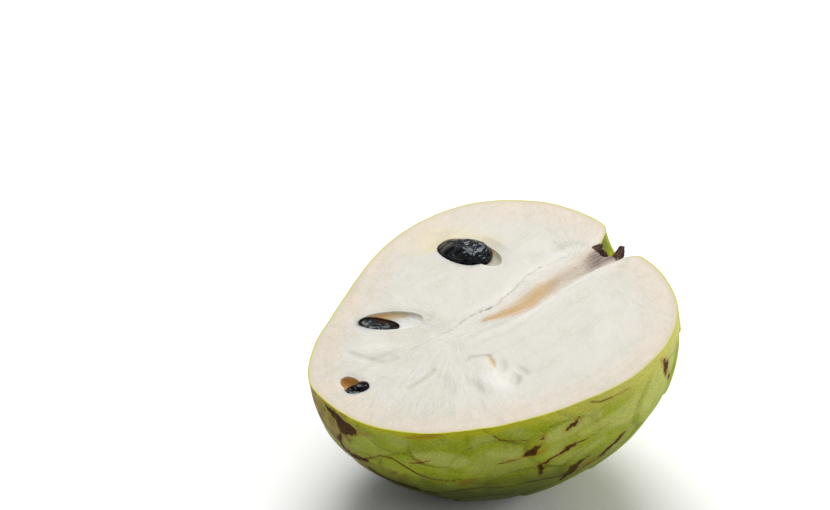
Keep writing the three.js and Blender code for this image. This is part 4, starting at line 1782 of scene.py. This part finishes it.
class CUSTARDAPPLE_OT_flesh(bpy.types.Operator):
    """Build the flesh: the cut face with its pockets, dimples and folds"""

    bl_idname = "custardapple.flesh"
    bl_label = "Flesh"

    def execute(self, context):
        depth = settings().fruit.rind_thickness + SEAM
        flesh = round_body("flesh_pulp", INSIDE_GRID, inner_radius(depth))
        carve(flesh, cut_block(), "INTERSECT")
        carve(flesh, stalk_hole())
        carve(flesh, core_body("trench", SEAM))
        for seed in SEEDS.values():
            carve(flesh, seed_body("pocket", seed, POCKET_ROOM * MM, POCKET_GRID))
            carve(flesh, opening_body(seed))
        paint_tissue(flesh.data)
        settle(flesh, pulp_material(), ["flesh"])
        return {"FINISHED"}


class CUSTARDAPPLE_OT_core(bpy.types.Operator):
    """Build the fibrous core, flush with the cut face"""

    bl_idname = "custardapple.core"
    bl_label = "Core"

    def execute(self, context):
        core = core_body("core_fibres", 0)
        carve(core, cut_block(), "INTERSECT")
        paint_tissue(core.data)
        paint_core(core.data)
        settle(core, core_material(), ["core"])
        return {"FINISHED"}


class CUSTARDAPPLE_OT_stalk_scar(bpy.types.Operator):
    """Build the torn stalk end with its ragged rim"""

    bl_idname = "custardapple.stalk_scar"
    bl_label = "Stalk scar"

    def execute(self, context):
        scar = scar_body("stalk_scar_crust")
        carve(scar, cut_block(), "INTERSECT")
        paint_tissue(scar.data)
        paint_core(scar.data)
        paint_scar(scar.data)
        settle(scar, scar_material(), ["stalk_scar"], HARD_CREASE)
        return {"FINISHED"}


class CUSTARDAPPLE_OT_seeds(bpy.types.Operator):
    """Build the three seeds, each lying in its pocket"""

    bl_idname = "custardapple.seeds"
    bl_label = "Seeds"

    def execute(self, context):
        material = seed_material()
        for turn, (name, seed) in enumerate(SEEDS.items()):
            piece = seed_body(name + "_coat", seed, 0, SEED_GRID, seed_relief(turn))
            paint_seed(piece.data, name, turn)
            settle(piece, material, [name], HARD_CREASE)
        return {"FINISHED"}


class CUSTARDAPPLE_OT_stage(bpy.types.Operator):
    """Set the table, the soft lights and the camera"""

    bl_idname = "custardapple.stage"
    bl_label = "Stage"

    def execute(self, context):
        look = settings().stage
        lay_table()
        light_studio(context.scene, look)
        set_camera(context.scene, look)
        return {"FINISHED"}


OPERATORS = (
    CUSTARDAPPLE_OT_rind,
    CUSTARDAPPLE_OT_flesh,
    CUSTARDAPPLE_OT_core,
    CUSTARDAPPLE_OT_stalk_scar,
    CUSTARDAPPLE_OT_seeds,
    CUSTARDAPPLE_OT_stage,
)


class CUSTARDAPPLE_PT_panel(bpy.types.Panel):
    """The half's pieces, one button each"""

    bl_label = "Custard apple"
    bl_idname = "CUSTARDAPPLE_PT_panel"
    bl_space_type = "VIEW_3D"
    bl_region_type = "UI"
    bl_category = "Custard apple"

    def draw(self, context):
        for operator in OPERATORS:
            self.layout.operator(operator.bl_idname)


CLASSES = (
    FruitShape,
    Areoles,
    SkinLook,
    PulpLook,
    SeedLook,
    ScarLook,
    StageLook,
    CustardApple,
    *OPERATORS,
    CUSTARDAPPLE_PT_panel,
)


def register():
    """Registers the classes and hangs the settings on the scene."""
    for each in CLASSES:
        bpy.utils.register_class(each)
    bpy.types.Scene.custard_apple = PointerProperty(type=CustardApple)


def unregister():
    """Takes the settings off the scene and the classes out."""
    del bpy.types.Scene.custard_apple
    for each in reversed(CLASSES):
        bpy.utils.unregister_class(each)


def main():
    """Builds every piece and the stage."""
    register()
    bpy.ops.custardapple.rind()
    bpy.ops.custardapple.flesh()
    bpy.ops.custardapple.core()
    bpy.ops.custardapple.stalk_scar()
    bpy.ops.custardapple.seeds()
    bpy.ops.custardapple.stage()


if __name__ == "__main__":
    main()
